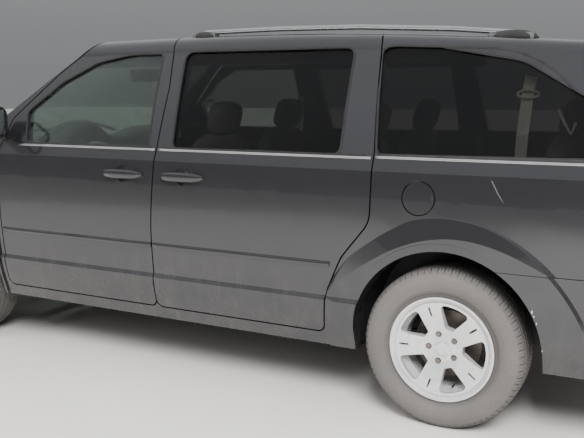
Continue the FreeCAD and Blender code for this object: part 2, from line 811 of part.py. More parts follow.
def liftgate():
    shell = Body.shell.common(box(-2700, GATE_HINGE_X + 60, -800, 800, 600, 1900))
    outline = inset(GATE, HALF_GAP)
    zone = end_prism(outline, -2700, GATE_HINGE_X)
    nose = Part.makeCylinder(
        GATE_NOSE_RADIUS,
        2 * GATE_NOSE_HALF,
        V(GATE_HINGE_X, -GATE_NOSE_HALF, GATE_HINGE_Z),
        V(0, 1, 0),
    )
    gate = shell.common(zone).fuse(shell.common(nose))
    cutters = [
        end_prism(GATE_WINDOW, -2700, -2180),
        end_prism(PLATE_RECESS, -2700, PLATE_X),
    ]
    for side in (-1.0, 1.0):
        inner = sorted((side * (GATE_NOSE_HALF + 1), side * 720.0))
        outer = sorted((side * GATE_CORNER_Y, side * 720.0))
        front = GATE_HINGE_X + 70.0
        under = GATE_HINGE_Z - GATE_CORNER_DEPTH
        cutters.append(box(GATE_HINGE_X - 32, front, inner[0], inner[1], 1500, under))
        cutters.append(box(GATE_HINGE_X - 45, front, outer[0], outer[1], 1500, 1750))
    for y in (-PLATE_HOLE_SPACING / 2, PLATE_HOLE_SPACING / 2):
        hole = Part.makeCylinder(PLATE_HOLE_RADIUS, 30, V(PLATE_X - 10, y, PLATE_HOLE_Z), V(1, 0, 0))
        cutters.append(hole)
    return gate.cut(cutters)


def liftgate_glass():
    pane = end_block(GATE_LEVELS, -1, 6.0, ruled=True)
    pane = pane.cut(end_block(GATE_LEVELS, -1, 11.0, ruled=True))
    return pane.common(end_prism(inset(GATE_WINDOW, GLASS_FIT), -2700, -2180))


def windshield():
    pane = screen_block(4.0).cut(screen_block(10.0)).common(upper_and_cowl())
    return pane.common(plan_prism(inset(WINDSCREEN, GLASS_FIT), 1000, 1800))


def upper_and_cowl():
    return box(500, 1640, -1000, 1000, 1050, 1765)


def fender():
    shell = Body.clip_skin.common(box(1140.5, 2700, 0, 1100, SILL_BOTTOM, 1200))
    x = ARCHES[0]
    lip = flare(x)
    lip = lip.common(end_block(NOSE_LEVELS, 1, -FLARE_PROUD))
    lip = lip.common(box(1175, 2200, 500, 1100, SILL_BOTTOM, 1000))
    shell = shell.fuse(lip)
    cutters = [
        box(1000, 1692, 0, 1100, FENDER_TOP_Z, 1300),
        plan_prism(inset(HOOD, -HALF_GAP), HOOD_LIP_Z, 1300),
        box(1400, 1700, 0, 838, HOOD_LIP_Z, 1300),
        plan_prism(inset(WINDSCREEN, -3.0), 1000, 1300),
        arch_cut(x),
        side_prism(LAMP_FRONT, 100, 1100),
        box(x + 60, 2800, 0, 1100, 0, NOSE_SEAM_Z + 2),
        box(2100, 2800, 0, GRILLE_HALF + 40, 0, 900),
    ]
    return shell.cut(cutters)


def hood():
    skin = Body.clip.cut(clip_block(HOOD_SKIN))
    panel = skin.common(plan_prism(inset(HOOD, HALF_GAP), HOOD_LIP_Z + HALF_GAP, 1300))
    arms = []
    for y in HOOD_ARMS_Y:
        arms.append(
            Part.makeCylinder(9.0, HOOD_ARM_WIDTH, V(HOOD_HINGE_X, y, HOOD_HINGE_Z), V(0, 1, 0))
        )
        far = y + HOOD_ARM_WIDTH
        arms.append(box(HOOD_HINGE_X - 6, 1790, y, far, HOOD_HINGE_Z - 6, HOOD_HINGE_Z + 6))
        arms.append(box(1730, 1790, y, far, HOOD_HINGE_Z - 6, 1078))
    return panel.fuse(fuse_all(arms).common(clip_block(HOOD_SKIN - 1)))


def front_bumper():
    skin = Body.clip.cut(clip_block(16.0))
    skin = skin.common(box(1600, 2800, -1100, 1100, 200, NOSE_SEAM_Z - 2))
    lip = flare(ARCHES[0])
    lip = lip.common(end_block(NOSE_LEVELS, 1, -FLARE_PROUD))
    lip = lip.common(box(ARCHES[0] + 60, 2180, 500, 1100, VALANCE_BOTTOM, NOSE_SEAM_Z - 2))
    skin = skin.fuse(lip).fuse(mirrored(lip))
    for cut in (arch_cut(ARCHES[0]), mirrored(arch_cut(ARCHES[0]))):
        skin = skin.cut(cut)
    skin = skin.cut(box(1500, ARCHES[0] + 60, -1100, 1100, 0, 800))
    intake = end_prism(
        [(-520, 320, 40), (520, 320, 40), (480, 430, 40), (-480, 430, 40)], 2300, 2700
    )
    return skin.cut(intake)


def grille():
    half = GRILLE_HALF - 2
    frame = clip_block(6.0).cut(clip_block(34.0))
    z0, z1 = NOSE_SEAM_Z, HOOD_LIP_Z
    frame = frame.common(box(2300, 2700, -half, half, z0, z1))
    pitch = (z1 - z0 - 30) / 5
    for i in range(5):
        low = z0 + 20 + i * pitch
        for y0, y1 in ((-half + 30, -10), (10, half - 30)):
            frame = frame.cut(box(2200, 2700, y0, y1, low, low + pitch - 14))
    return frame


def headlamp():
    lamp = Body.clip.common(box(2000, 2700, GRILLE_HALF + 1, 1100, 600, 900))
    lamp = lamp.cut(clip_block(70.0)).common(side_prism(inset(LAMP_FRONT, FIT), 100, 1100))
    return lamp.cut(plan_prism(inset(HOOD, -HALF_GAP), HOOD_LIP_Z, 1300))


def tail_lamp():
    lamp = Body.shell.common(side_prism(inset(LAMP_REAR, FIT), 500, 1100))
    return lamp.cut(end_prism(inset(GATE, -HALF_GAP), -2700, GATE_HINGE_X))


def rear_bumper():
    def block(depth):
        sides = lower_block(depth - 3, SMOOTH_SIDE)
        return sides.common(end_block(BUMPER_LEVELS, -1, depth, back=1300.0))

    skin = block(0.0).cut(block(30.0))
    lip = flare(ARCHES[1], SMOOTH_SIDE)
    rear_box = box(TAIL_X - 10, REAR_AXLE_X - 202, -1100, 1100, 325, BUMPER_SEAM_Z)
    lip = lip.common(box(-2120, REAR_AXLE_X - 202, 500, 1100, 325, BUMPER_SEAM_Z))
    skin = skin.common(rear_box).fuse(lip).fuse(mirrored(lip))
    shelf = block(28.0).common(box(-2600, -2420, -1100, 1100, 600, 648))
    skin = skin.cut(box(-2700, -2000, -694, 694, 648, 800)).fuse(shelf)
    for cut in (arch_cut(ARCHES[1]), mirrored(arch_cut(ARCHES[1]))):
        skin = skin.cut(cut)
    return skin


# Wheels
HUB_FACE = 26.0
CROWN = 1.5
SEATS = ((430.0, 370.0), (430.0, -370.0), (-480.0, 400.0), (-480.0, -400.0))


def spun(profile, closed=True):
    """A ring turned about the wheel's own axle from (radius, across) points."""
    points = [V(r, y, 0) for r, y in profile]
    face = Part.Face(Part.makePolygon(points + [points[0]]))
    return face.revolve(V(0, 0, 0), V(0, 1, 0), 360)


def tyre():
    """A tyre with bulging walls, hollow inside, open to the rim."""
    h = TYRE_WIDTH / 2
    wall = 13.0
    bead = RIM_BEAD_RADIUS + FIT
    rim_half = RIM_WIDTH / 2 - 12.0
    outer = [
        (bead, rim_half),
        (RIM_RADIUS + 12, rim_half + 5),
        (290.0, h),
        (335.0, h - 9),
        (351.0, h - 24),
        (TYRE_RADIUS - CROWN, h - 48),
    ]
    inner = [
        (TYRE_RADIUS - 15, h - 52),
        (340.0, h - 24),
        (290.0, h - wall),
        (RIM_RADIUS + 12, rim_half - 10),
        (bead, rim_half - 14),
    ]

    def half(side):
        s = side

        def p(q):
            return V(q[0], s * q[1], 0)

        return [
            Part.LineSegment(p(outer[0]), p(outer[1])),
            Part.Arc(p(outer[1]), p(outer[2]), p(outer[3])),
            Part.Arc(p(outer[3]), p(outer[4]), p(outer[5])),
        ], [
            Part.LineSegment(p(inner[0]), p(inner[1])),
            Part.Arc(p(inner[1]), p(inner[2]), p(inner[3])),
            Part.LineSegment(p(inner[3]), p(inner[4])),
            Part.LineSegment(p(inner[4]), p(outer[0])),
        ]

    left_out, left_in = half(1)
    right_out, right_in = half(-1)
    edge = TYRE_RADIUS - CROWN
    tread = Part.Arc(V(edge, 48 - h, 0), V(TYRE_RADIUS, 0, 0), V(edge, h - 48, 0))
    liner = Part.LineSegment(V(inner[0][0], inner[0][1], 0), V(inner[0][0], -inner[0][1], 0))
    edges = [e.toShape() for e in left_out + left_in + right_out + right_in + [tread, liner]]
    wire = Part.Wire(Part.__sortEdges__(edges))
    return Part.Face(wire).revolve(V(0, 0, 0), V(0, 1, 0), 360)


def rim():
    """A cast wheel: a barrel and a dished face with five broad spokes."""
    half = RIM_WIDTH / 2
    barrel = spun(
        [
            (RIM_RADIUS, half),
            (RIM_RADIUS, half - 5),
            (RIM_BEAD_RADIUS, half - 12),
            (RIM_BEAD_RADIUS, half - 34),
            (192.0, half - 60),
            (192.0, -half + 60),
            (RIM_BEAD_RADIUS, -half + 34),
            (RIM_BEAD_RADIUS, -half + 12),
            (RIM_RADIUS, -half + 5),
            (RIM_RADIUS, -half),
            (RIM_RADIUS - 7, -half),
            (RIM_BEAD_RADIUS - 9, -half + 14),
            (184.0, -half + 62),
            (184.0, half - 66),
            (206.0, half - 34),
            (208.0, half - 14),
            (RIM_RADIUS - 8, half),
        ]
    )
    face = spun(
        [
            (34.0, HUB_FACE),
            (95.0, HUB_FACE),
            (150.0, half - 46),
            (195.0, half - 34),
            (209.0, half - 30),
            (209.0, half - 6),
            (160.0, half - 12),
            (100.0, half - 24),
            (62.0, half - 34),
            (34.0, half - 30),
        ]
    )
    cap = spun([(0.0, half - 34), (0.0, half - 20), (24.0, half - 21), (36.0, half - 26), (36.0, half - 34)])
    for k in range(SPOKES):
        angle = math.radians(72 * k)
        face = face.cut(window_prism(angle + math.radians(36)))
        face = face.cut(slot_prism(angle))
        lug = Part.makeCylinder(
            LUG_HOLE_RADIUS + 6,
            200,
            V(LUG_CIRCLE_RADIUS * math.cos(angle), -100, LUG_CIRCLE_RADIUS * math.sin(angle)),
            V(0, 1, 0),
        )
        face = face.cut(lug)
    return barrel.fuse(face).fuse(cap)


def polar_ring(points, angle):
    """An outline in the wheel's face from (radius, degrees off centre, corner)."""
    return [
        (r * math.cos(angle + math.radians(a)), r * math.sin(angle + math.radians(a)), c)
        for r, a, c in points
    ]


def window_prism(angle):
    outline = [
        (92.0, -11.0, 9.0),
        (199.0, -20.0, 16.0),
        (204.0, 0.0, 190.0),
        (199.0, 20.0, 16.0),
        (92.0, 11.0, 9.0),
    ]
    return side_prism(polar_ring(outline, angle), -100, 100)


def slot_prism(angle):
    outline = [(150.0, -1.8, 4.0), (192.0, -1.4, 4.0), (192.0, 1.4, 4.0), (150.0, 1.8, 4.0)]
    return side_prism(polar_ring(outline, angle), -100, 100)


def hub_and_disc():
    """The brake disc with its hat, the hub flange, the studs and lug nuts."""
    disc = spun(
        [
            (34.0, HUB_FACE - FIT),
            (80.0, HUB_FACE - FIT),
            (84.0, HUB_FACE - 6),
            (84.0, -18.0),
            (DISC_RADIUS, -18.0),
            (DISC_RADIUS, -18.0 - DISC_THICKNESS),
            (76.0, -18.0 - DISC_THICKNESS),
            (76.0, HUB_FACE - 10),
            (60.0, HUB_FACE - 10),
            (60.0, -16.0),
            (SPINDLE_RADIUS + HUB_BORE_CLEARANCE, -16.0),
            (SPINDLE_RADIUS + HUB_BORE_CLEARANCE, HUB_FACE - 4),
            (SPINDLE_RADIUS + HUB_BORE_CLEARANCE, HUB_FACE - FIT),
        ]
    )
    for k in range(SPOKES):
        a = math.radians(72 * k)
        p = V(LUG_CIRCLE_RADIUS * math.cos(a), HUB_FACE - 8, LUG_CIRCLE_RADIUS * math.sin(a))
        stud = Part.makeCylinder(6.0, 30, p, V(0, 1, 0))
        nut = Part.makeCylinder(11.0, 26, p + V(0, 24, 0), V(0, 1, 0))
        disc = disc.fuse(stud).fuse(nut)
    return disc


def at_wheel(shape, x, y):
    """Sets a wheel piece on its axle; the right side's pieces are mirrored."""
    placed = shape.copy()
    placed.translate(V(x, abs(y), AXLE_Z))
    return placed if y > 0 else mirrored(placed)


# Suspension. The steering axis runs from the lower ball joint to the strut's top
BALL_JOINT = (FRONT_AXLE_X, 752.0, 215.0)
STRUT_TOP = (FRONT_AXLE_X, 585.0, 985.0)


def on_strut(z):
    share = (z - BALL_JOINT[2]) / (STRUT_TOP[2] - BALL_JOINT[2])
    return (
        BALL_JOINT[0] + (STRUT_TOP[0] - BALL_JOINT[0]) * share,
        BALL_JOINT[1] + (STRUT_TOP[1] - BALL_JOINT[1]) * share,
        z,
    )


def knuckle():
    """The left front upright with its spindle, brake caliper, strut and spring."""
    y = FRONT_TRACK / 2
    spindle = Part.makeCylinder(SPINDLE_RADIUS, 78, V(FRONT_AXLE_X, y - 62, AXLE_Z), V(0, 1, 0))
    upright = box(FRONT_AXLE_X - 34, FRONT_AXLE_X + 34, y - 92, y - 56, 200, 455)
    parts = [
        spindle,
        upright,
        tube_between(on_strut(440.0), on_strut(978.0), 24.0),
        Part.makeCylinder(95.0, 8, V(*on_strut(742.0)) - V(0, 8, 0)),
        box(FRONT_AXLE_X - 30, FRONT_AXLE_X + 30, 668, 752, 420, 470),
        box(FRONT_AXLE_X + 85, FRONT_AXLE_X + 165, y - 70, y - 46, AXLE_Z - 60, AXLE_Z + 60),
        box(FRONT_AXLE_X + 20, FRONT_AXLE_X + 120, y - 92, y - 68, AXLE_Z - 40, AXLE_Z + 40),
    ]
    for z in (770.0, 806.0, 842.0, 878.0, 914.0, 950.0):
        coil = Part.makeTorus(56.0, 6.5, V(*on_strut(z)), V(0, 0, 1))
        parts.append(coil)
    sleeve = tube_between(on_strut(750.0), on_strut(976.0), 50.5)
    parts.append(sleeve)
    return fuse_all(parts)


def front_subframe():
    x = FRONT_AXLE_X
    parts = [
        box(x - 240, x - 150, -440, 440, 215, 275),
        box(x + 150, x + 240, -440, 440, 215, 275),
        box(x - 240, x + 240, 360, 440, 215, 275),
        box(x - 240, x + 240, -440, -360, 215, 275),
    ]
    for s in (1, -1):
        arm = box(x - 34, x + 34, 430, 705, 205, 235)
        heel = box(x - 150, x + 34, 430, 520, 205, 235)
        ball = Part.makeCylinder(17.0, 10, V(x, 752, 184))
        tail = box(x - 20, x + 20, 690, 765, 184, 194)
        web = box(x - 20, x + 20, 685, 705, 184, 215)
        one = arm.fuse(heel).fuse(ball).fuse(tail).fuse(web)
        parts.append(one if s > 0 else mirrored(one))
    for s in (1, -1):
        parts.append(tube_between((x - 190, s * 300, 275), (x - 190, s * 300, 350), 22.0))
    return fuse_all(parts)


def wheel_housing(x, inner_y, wall):
    """A wheel well's lining: an arched roof, closed on the inboard side.

    Outboard it ends behind the body's wall, whose depth is given.
    """
    radius = ARCH_RADIUS + WELL_GAP
    outer = arch_cut(x, radius + WELL_WALL, inner_y - WELL_WALL, 940.0)
    well = outer.cut(arch_cut(x, radius, inner_y, 945.0))
    well = well.common(box(x - 500, x + 500, 0, 1100, 345, 1100))
    return well.common(lower_block(wall + FIT))


def front_housing():
    """The front lining has room for the strut and its spring in its roof."""
    lining = wheel_housing(ARCHES[0], FRONT_WELL_Y, 16.0)
    x = FRONT_AXLE_X
    return lining.cut(box(x - 85, x + 85, 530, 705, 780, 840))


def rear_housing():
    """The rear lining lets the axle's end through its inboard side."""
    x = REAR_AXLE_X
    lining = wheel_housing(ARCHES[1], REAR_WELL_Y, LOWER_WALL)
    behind = wheel_housing(ARCHES[1], REAR_WELL_Y, 34.0)
    corner = box(x - 700, x - 203, 500, 1100, 345, BUMPER_SEAM_Z - 2)
    lining = lining.fuse(behind.common(corner))
    return lining.cut(box(x - 66, x + 66, 600, 640, 344, 411))


def rear_axle():
    x = REAR_AXLE_X
    y = REAR_TRACK / 2
    parts = [box(x + 90, x + 170, -560, 560, 280, 340)]
    for s in (1, -1):
        one = [
            Part.makeCylinder(SPINDLE_RADIUS, 78, V(x, y - 62, AXLE_Z), V(0, 1, 0)),
            box(x - 70, x + 560, 520, 590, 268, 328),
            box(x - 60, x + 60, 540, y - 56, AXLE_Z - 45, AXLE_Z + 45),
            Part.makeCylinder(24.0, 100, V(x + 560, 505, 302), V(0, 1, 0)),
            box(x + 540, x + 580, 530, 580, 300, FLOOR_LOW - FIT),
            Part.makeCylinder(55.0, 10, V(x + 60, 540, 345)),
            tube_between((x - 50, 565, 300), (x - 90, 565, 498), 24.0),
        ]
        for z in (372.0, 396.0, 420.0, 444.0, 468.0, 490.0):
            one.append(Part.makeTorus(50.0, 6.0, V(x + 60, 540, z), V(0, 0, 1)))
        one.append(Part.makeCylinder(44.5, 155, V(x + 60, 540, 349.5)))
        whole = fuse_all(one)
        parts.append(whole if s > 0 else mirrored(whole))
    return fuse_all(parts)


# Under the floor and in the nose
FLOOR_LOW = 335.0
FLOOR_HALF = 802.0
RAIL_Y = 400.0
RAIL_WIDTH = 60.0
RAIL_TOP = 400.0


def floor_pan():
    step_x = -1095.0
    inner = FLOOR_HALF
    low = box(step_x, 1300, -inner, inner, FLOOR_LOW, 350)
    riser = box(step_x - 15, step_x, -inner, inner, FLOOR_LOW, 520)
    load = box(-2385, step_x, -inner, inner, 505, 520)
    parts = [low, riser, load]
    for s in (1, -1):
        y0, y1 = (RAIL_Y, RAIL_Y + RAIL_WIDTH) if s > 0 else (-RAIL_Y - RAIL_WIDTH, -RAIL_Y)
        parts.append(box(step_x, 1300, y0, y1, 268, 336))
        parts.append(box(-2380, step_x - 1, y0, y1, 430, 506))
        parts.append(box(1300, 2320, y0, y1, 300, RAIL_TOP))
        parts.append(box(1250, 1320, y0, y1, 268, RAIL_TOP))
    parts.append(box(2290, 2330, -620, 620, 300, 420))
    notches = [
        box(-50 - FIT, 120 + FIT, 747, 830, 300, 400),
        box(1150 - FIT, 1310, 745, 830, 300, 400),
        well_cut(ARCHES[0], FRONT_WELL_Y),
    ]
    parts.append(box(-2400, -2385, -640, 640, 440, 640))
    whole = fuse_all(parts)
    for s in (1, -1):
        x = ARCHES[1]
        for notch in notches + [box(x - 440, x + 440, 606, 830, 200, 600)]:
            whole = whole.cut(notch if s > 0 else mirrored(notch))
    return whole


def firewall_cowl():
    wall = box(1300, 1316, -780, 780, 345, 1070)
    shelf = clip_block(40.0).cut(clip_block(58.0))
    shelf = shelf.common(box(1310, 1682, -832, 832, 1000, 1200))
    tie = box(1300, 1330, -780, 780, 1060, 1100)
    whole = wall.fuse(tie).fuse(shelf)
    for s in (1, -1):
        tower = box(1611 - 120, 1611 + 120, 465, 700, 1000, 1010)
        side = box(1316, 1900, 458, 471, 400, 1010)
        leg = box(1300, 1500, 465, 700, 1000, 1010)
        side = side.fuse(box(1316, 1900, 458, 560, 1000, 1010))
        one = tower.fuse(side).fuse(leg)
        whole = whole.fuse(one if s > 0 else mirrored(one))
    for y in HOOD_ARMS_Y:
        far = y + HOOD_ARM_WIDTH
        whole = whole.cut(box(HOOD_HINGE_X - 30, 1800, y - 6, far + 6, 1020, 1200))
        for ear in (y - 2 * FIT - HOOD_EAR, far + 2 * FIT):
            whole = whole.fuse(box(1660, HOOD_HINGE_X + 14, ear, ear + HOOD_EAR, 1000, 1048))
    well = well_cut(ARCHES[0], FRONT_WELL_Y)
    whole = whole.cut(well).cut(mirrored(well))
    for s in (1, -1):
        rail = box(1290, 1330, RAIL_Y - FIT, RAIL_Y + RAIL_WIDTH + FIT, 340, RAIL_TOP + FIT)
        whole = whole.cut(rail if s > 0 else mirrored(rail))
    return whole


def radiator_support():
    core = box(2335, 2385, -380, 380, 330, 790)
    low = 420.0 + FIT
    bars = [
        box(2330 + FIT, 2350, -460, 460, 780, 830),
        box(2330 + FIT, 2350, -620, 620, low, 450),
        box(2330 + FIT, 2350, 430, 460, low, 830),
        box(2330 + FIT, 2350, -460, -430, low, 830),
    ]
    return fuse_all([core] + bars)


def engine():
    block = box(1640, 2120, -396, 380, 350, 900)
    mount = box(1640, 1760, -300, 250, 300, 350)
    feet = box(1500, 1700, 280, 320, 350.3, 420).fuse(box(1500, 1700, -320, -280, 350.3, 420))
    return block.fuse(mount).fuse(feet)


def fuel_tank():
    tank = box(-780, 60, -60, 390, 205, 334.7)
    edges = [e for e in tank.Edges if abs(e.Curve.Direction.z) < 0.5 and e.CenterOfMass.z < 206]
    return tank.makeFillet(35.0, edges)


def exhaust():
    pipe_r = 29.0
    path = [
        (1630.0, -90.0, 314.0),
        (1350.0, -110.0, 309.0),
        (1080.0, -132.0, 240.0),
        (300.0, -150.0, 238.0),
        (-1430.0, -185.0, 238.0),
        (-1700.0, -215.0, 378.0),
        (-1920.0, -270.0, 385.0),
    ]
    parts = [bent_tube(path, pipe_r, 120.0)]
    can = Part.makeCylinder(100.0, 480, V(-1900, -290, 385), V(-1, 0, 0))
    flat = box(-2380, -1900, -397, -183, 305, 425)
    converter = Part.makeCylinder(62.0, 380, V(900, -142, 240), V(-1, 0, 0))
    tail = tube_between((-2350, -340, 345), (-2505, -360, 275), 24.0)
    hangers = [box(-2300, -2280, -350, -330, 420, 504.7), box(-1960, -1940, -350, -330, 420, 504.7)]
    strap = box(700, 720, -160, -120, 290, 334.7)
    return fuse_all(parts + [can, flat, converter, tail, strap] + hangers)


# Cabin


def seat(x, y, floor, width=500.0):
    """A chair: pedestal, cushion, raked back and headrest."""
    cushion = box(x - 260, x + 270, y - width / 2, y + width / 2, floor + 220, floor + 350)
    cushion = cushion.makeFillet(45.0, cushion.Edges)
    back = box(x - 330, x - 200, y - width / 2 + 10, y + width / 2 - 10, floor + 290, floor + 900)
    back = back.makeFillet(45.0, back.Edges)
    rest = box(x - 310, x - 210, y - 130, y + 130, floor + 905, floor + 1085)
    rest = rest.makeFillet(40.0, rest.Edges)
    stalk = box(x - 268, x - 252, y - 60, y + 60, floor + 860, floor + 950)
    upper = back.fuse(rest).fuse(stalk)
    upper.rotate(V(x - 265, y, floor + 300), V(0, 1, 0), -16)
    base = box(x - 220, x + 220, y - 190, y + 190, floor + FIT, floor + 235)
    return cushion.fuse(upper).fuse(base)


def rear_bench():
    x, floor = -1500.0, 520.0
    parts = []
    cushion = box(x - 240, x + 260, -590, 590, floor + 190, floor + 320)
    cushion = cushion.makeFillet(45.0, cushion.Edges)
    back = box(x - 310, x - 190, -585, 585, floor + 270, floor + 760)
    back = back.makeFillet(45.0, back.Edges)
    parts.append(cushion)
    for y in (-390.0, 0.0, 390.0):
        rest = box(x - 295, x - 205, y - 120, y + 120, floor + 770, floor + 920)
        rest = rest.makeFillet(36.0, rest.Edges)
        back = back.fuse(rest).fuse(box(x - 258, x - 242, y - 50, y + 50, floor + 740, floor + 790))
    back.rotate(V(x - 250, 0, floor + 270), V(0, 1, 0), -14)
    base = box(x - 200, x + 200, -500, 500, floor + FIT, floor + 205)
    return fuse_all([cushion, back, base])


def dashboard():
    profile = [
        (1299.0, 640.0, 5.0),
        (1299.0, 1040.0, 30.0),
        (1180.0, 1085.0, 60.0),
        (1015.0, 1060.0, 50.0),
        (975.0, 930.0, 60.0),
        (1000.0, 780.0, 60.0),
        (1040.0, 640.0, 40.0),
    ]
    profile = profile[::-1]
    dash = side_prism(profile, -780, 780)
    dash = dash.cut(Part.makeBox(500, 300, 600, V(800, 788, 600)))
    hood = side_prism([(975, 1040, 5), (1080, 1050, 5), (1080, 1100, 20), (975, 1110, 20)], 220, 520)
    console = box(700, 1060, -120, 120, 350 + FIT, 860)
    shroud = tube_between(on_column(190.0), on_column(COLUMN_START), 36.0)
    bore = tube_between(on_column(105.0), on_column(COLUMN_START - 5), COLUMN_RADIUS + FIT)
    dash = dash.fuse(hood).fuse(console).fuse(shroud).cut(bore)
    well = well_cut(ARCHES[0], FRONT_WELL_Y)
    return dash.cut(well).cut(mirrored(well))


STEER_CENTRE = (862.0, 370.0, 985.0)
STEER_TILT = math.radians(26.0)
STEER_RADIUS = 186.0
COLUMN_RADIUS = 24.0
COLUMN_START = 62.0


def on_column(distance):
    """A point on the steering axis, ahead of the wheel's centre."""
    x, y, z = STEER_CENTRE
    return (x + distance * math.cos(STEER_TILT), y, z - distance * math.sin(STEER_TILT))


def steering_wheel():
    """A ring, a boss and three spokes, square to its raked column."""
    ring_part = Part.makeTorus(STEER_RADIUS, 14.0, V(0, 0, 0), V(0, 0, 1))
    boss = Part.makeCylinder(62.0, 40.0, V(0, 0, -45))
    parts = [ring_part, boss]
    for a in (0.0, 180.0, 270.0):
        spoke = Part.makeBox(STEER_RADIUS - 40, 44.0, 16.0, V(40, -22, -22))
        spoke.rotate(V(0, 0, 0), V(0, 0, 1), a)
        parts.append(spoke)
    parts.append(Part.makeCylinder(COLUMN_RADIUS, 60.0, V(0, 0, -100)))
    wheel = fuse_all(parts)
    wheel.rotate(V(0, 0, 0), V(0, 0, 1), 90)
    wheel.rotate(V(0, 0, 0), V(0, 1, 0), -math.degrees(math.pi / 2 - STEER_TILT))
    wheel.translate(V(*STEER_CENTRE))
    return wheel


def roof_rail():
    """A raised bar above the roof's edge with a foot at each end."""
    path = [
        (-20.0, 632.0, 1744.0),
        (-90.0, 628.0, 1770.0),
        (-500.0, 626.0, 1773.0),
        (-950.0, 624.0, 1765.0),
        (-1400.0, 618.0, 1740.0),
        (-1690.0, 610.0, 1713.0),
        (-1755.0, 606.0, 1685.0),
    ]
    parts = [bent_tube(path, 12.0, 60.0)]
    parts.append(box(-150, -20, 612, 644, 1735, 1768))
    parts.append(box(-1750, -1560, 602, 632, 1675, 1714))
    return fuse_all(parts).cut(upper_block(-FIT)).common(box(-1800, 0, 500, 700, 1600, 1900))


MIRROR_REACH = 1130.0


def mirror_body():
    """A door mirror: a rounded shell on a short arm, its glass facing back."""
    shell = box(1040, 1190, 955, MIRROR_REACH, 1225, 1395)
    shell = shell.makeFillet(48.0, [e for e in shell.Edges if e.CenterOfMass.x > 1041])
    recess = box(1030, 1052, 968, MIRROR_REACH - 13, 1238, 1382)
    glass = box(1046, 1052.5, 970, MIRROR_REACH - 15, 1240, 1380)
    arm = box(1060, 1130, 902, 960, 1212, 1262)
    return shell.cut(recess).fuse(glass).fuse(arm)


def quarter_glass():
    rear = glass_pane(QUARTER_WINDOW)
    rear = rear.common(box(-2300, 0, 0, 1100, 1000, 1800))
    return rear.fuse(glass_pane(SLIDING_WINDOW))


def fuel_door():
    disc = Part.makeCylinder(FUEL_RADIUS, 300, V(FUEL_X, 800, FUEL_Z), V(0, 1, 0))
    disc = disc.common(lower_block(1.0)).cut(lower_block(7.0))
    pin = Part.makeCylinder(4.0, 36, V(FUEL_HINGE_X, FUEL_HINGE_Y, FUEL_Z - 18))
    low = FUEL_HINGE_Y - FUEL_ARM_DROP
    arm = box(FUEL_X + 48, FUEL_HINGE_X, low, low + 6, FUEL_Z - 18, FUEL_Z + 18)
    up = box(FUEL_HINGE_X - 6, FUEL_HINGE_X, low, FUEL_HINGE_Y, FUEL_Z - 18, FUEL_Z + 18)
    post = box(FUEL_X + 44, FUEL_X + 52, low, 1000, FUEL_Z - 18, FUEL_Z + 18).common(lower_block(5.0))
    return disc.fuse(pin).fuse(arm).fuse(up).fuse(post)


FUEL_HINGE_X = FUEL_X + FUEL_RADIUS + 24.0
FUEL_HINGE_Y = HALF_WIDTH - 24.0
FUEL_ARM_DROP = 36.0


def fuel_pocket():
    cup = Part.makeCylinder(FUEL_RADIUS + 4.5, 300, V(FUEL_X, 880, FUEL_Z), V(0, 1, 0))
    behind = box(FUEL_X + 20, FUEL_HINGE_X + 10, 880, 1100, FUEL_Z - 30, FUEL_Z + 30)
    return cup.fuse(behind.common(lower_block(7.0)))


def cabin_skin_out():
    return lower_block(-FIT).fuse(upper_block(-FIT))


def both_sides(shape):
    return Part.makeCompound(shape.Solids + mirrored(shape).Solids)


side = body_side()
door_block = box(900, 1300, 500, 1000, 1100, 1500).common(cabin_skin_out())
export("body_side_left", side.cut(fuel_pocket()))
export("body_side_right", mirrored(side))
export("roof_panel", roof_panel())
export("liftgate", liftgate())
export("liftgate_glass", liftgate_glass())
export("windshield", windshield())
export("front_fenders", both_sides(fender()))
export("hood", hood())
export("front_bumper", front_bumper())
export("grille", grille())
export("headlamps", both_sides(headlamp()))
export("tail_lamps", both_sides(tail_lamp()))
export("rear_bumper", rear_bumper())
export("rear_side_glass", both_sides(quarter_glass()))
export("fuel_door", fuel_door())
LEFT_PIECES = {
    "front_door": front_door(),
    "front_door_glass": glass_pane(FRONT_WINDOW),
    "side_mirror": mirror_body().cut(door_block),
    "sliding_door": door_panel(SLIDING_DOOR, SLIDING_WINDOW).cut(handle_cup(HANDLE_REAR_X)),
    "steering_knuckle": knuckle(),
}
for name, piece in LEFT_PIECES.items():
    export(name + "_left", piece)
    export(name + "_right", mirrored(piece))
rim_shape, tyre_shape, disc_shape = rim(), tyre(), hub_and_disc()
for tag, x, y in (
    ("front_left", FRONT_AXLE_X, FRONT_TRACK / 2),
    ("front_right", FRONT_AXLE_X, -FRONT_TRACK / 2),
    ("rear_left", REAR_AXLE_X, REAR_TRACK / 2),
    ("rear_right", REAR_AXLE_X, -REAR_TRACK / 2),
):
    export("rim_" + tag, at_wheel(rim_shape, x, y))
    export("tyre_" + tag, at_wheel(tyre_shape, x, y))
    export("brake_disc_" + tag, at_wheel(disc_shape, x, y))
wells = front_housing().Solids + rear_housing().Solids
export("wheel_housings", both_sides(Part.makeCompound(wells)))
export("floor_pan", floor_pan())
export("firewall_cowl", firewall_cowl())
export("radiator_support", radiator_support())
export("engine_block", engine())
export("front_subframe", front_subframe())
export("rear_axle", rear_axle())
export("fuel_tank", fuel_tank())
export("exhaust_system", exhaust())
export("captain_seats", Part.makeCompound([s for x, y in SEATS for s in seat(x, y, 350.0).Solids]))
export("rear_bench", rear_bench())
export("dashboard", dashboard())
export("steering_wheel", steering_wheel())
export("roof_rails", both_sides(roof_rail()))
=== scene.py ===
import math

import bpy
from mathutils import Matrix, Vector
from mathutils.bvhtree import BVHTree


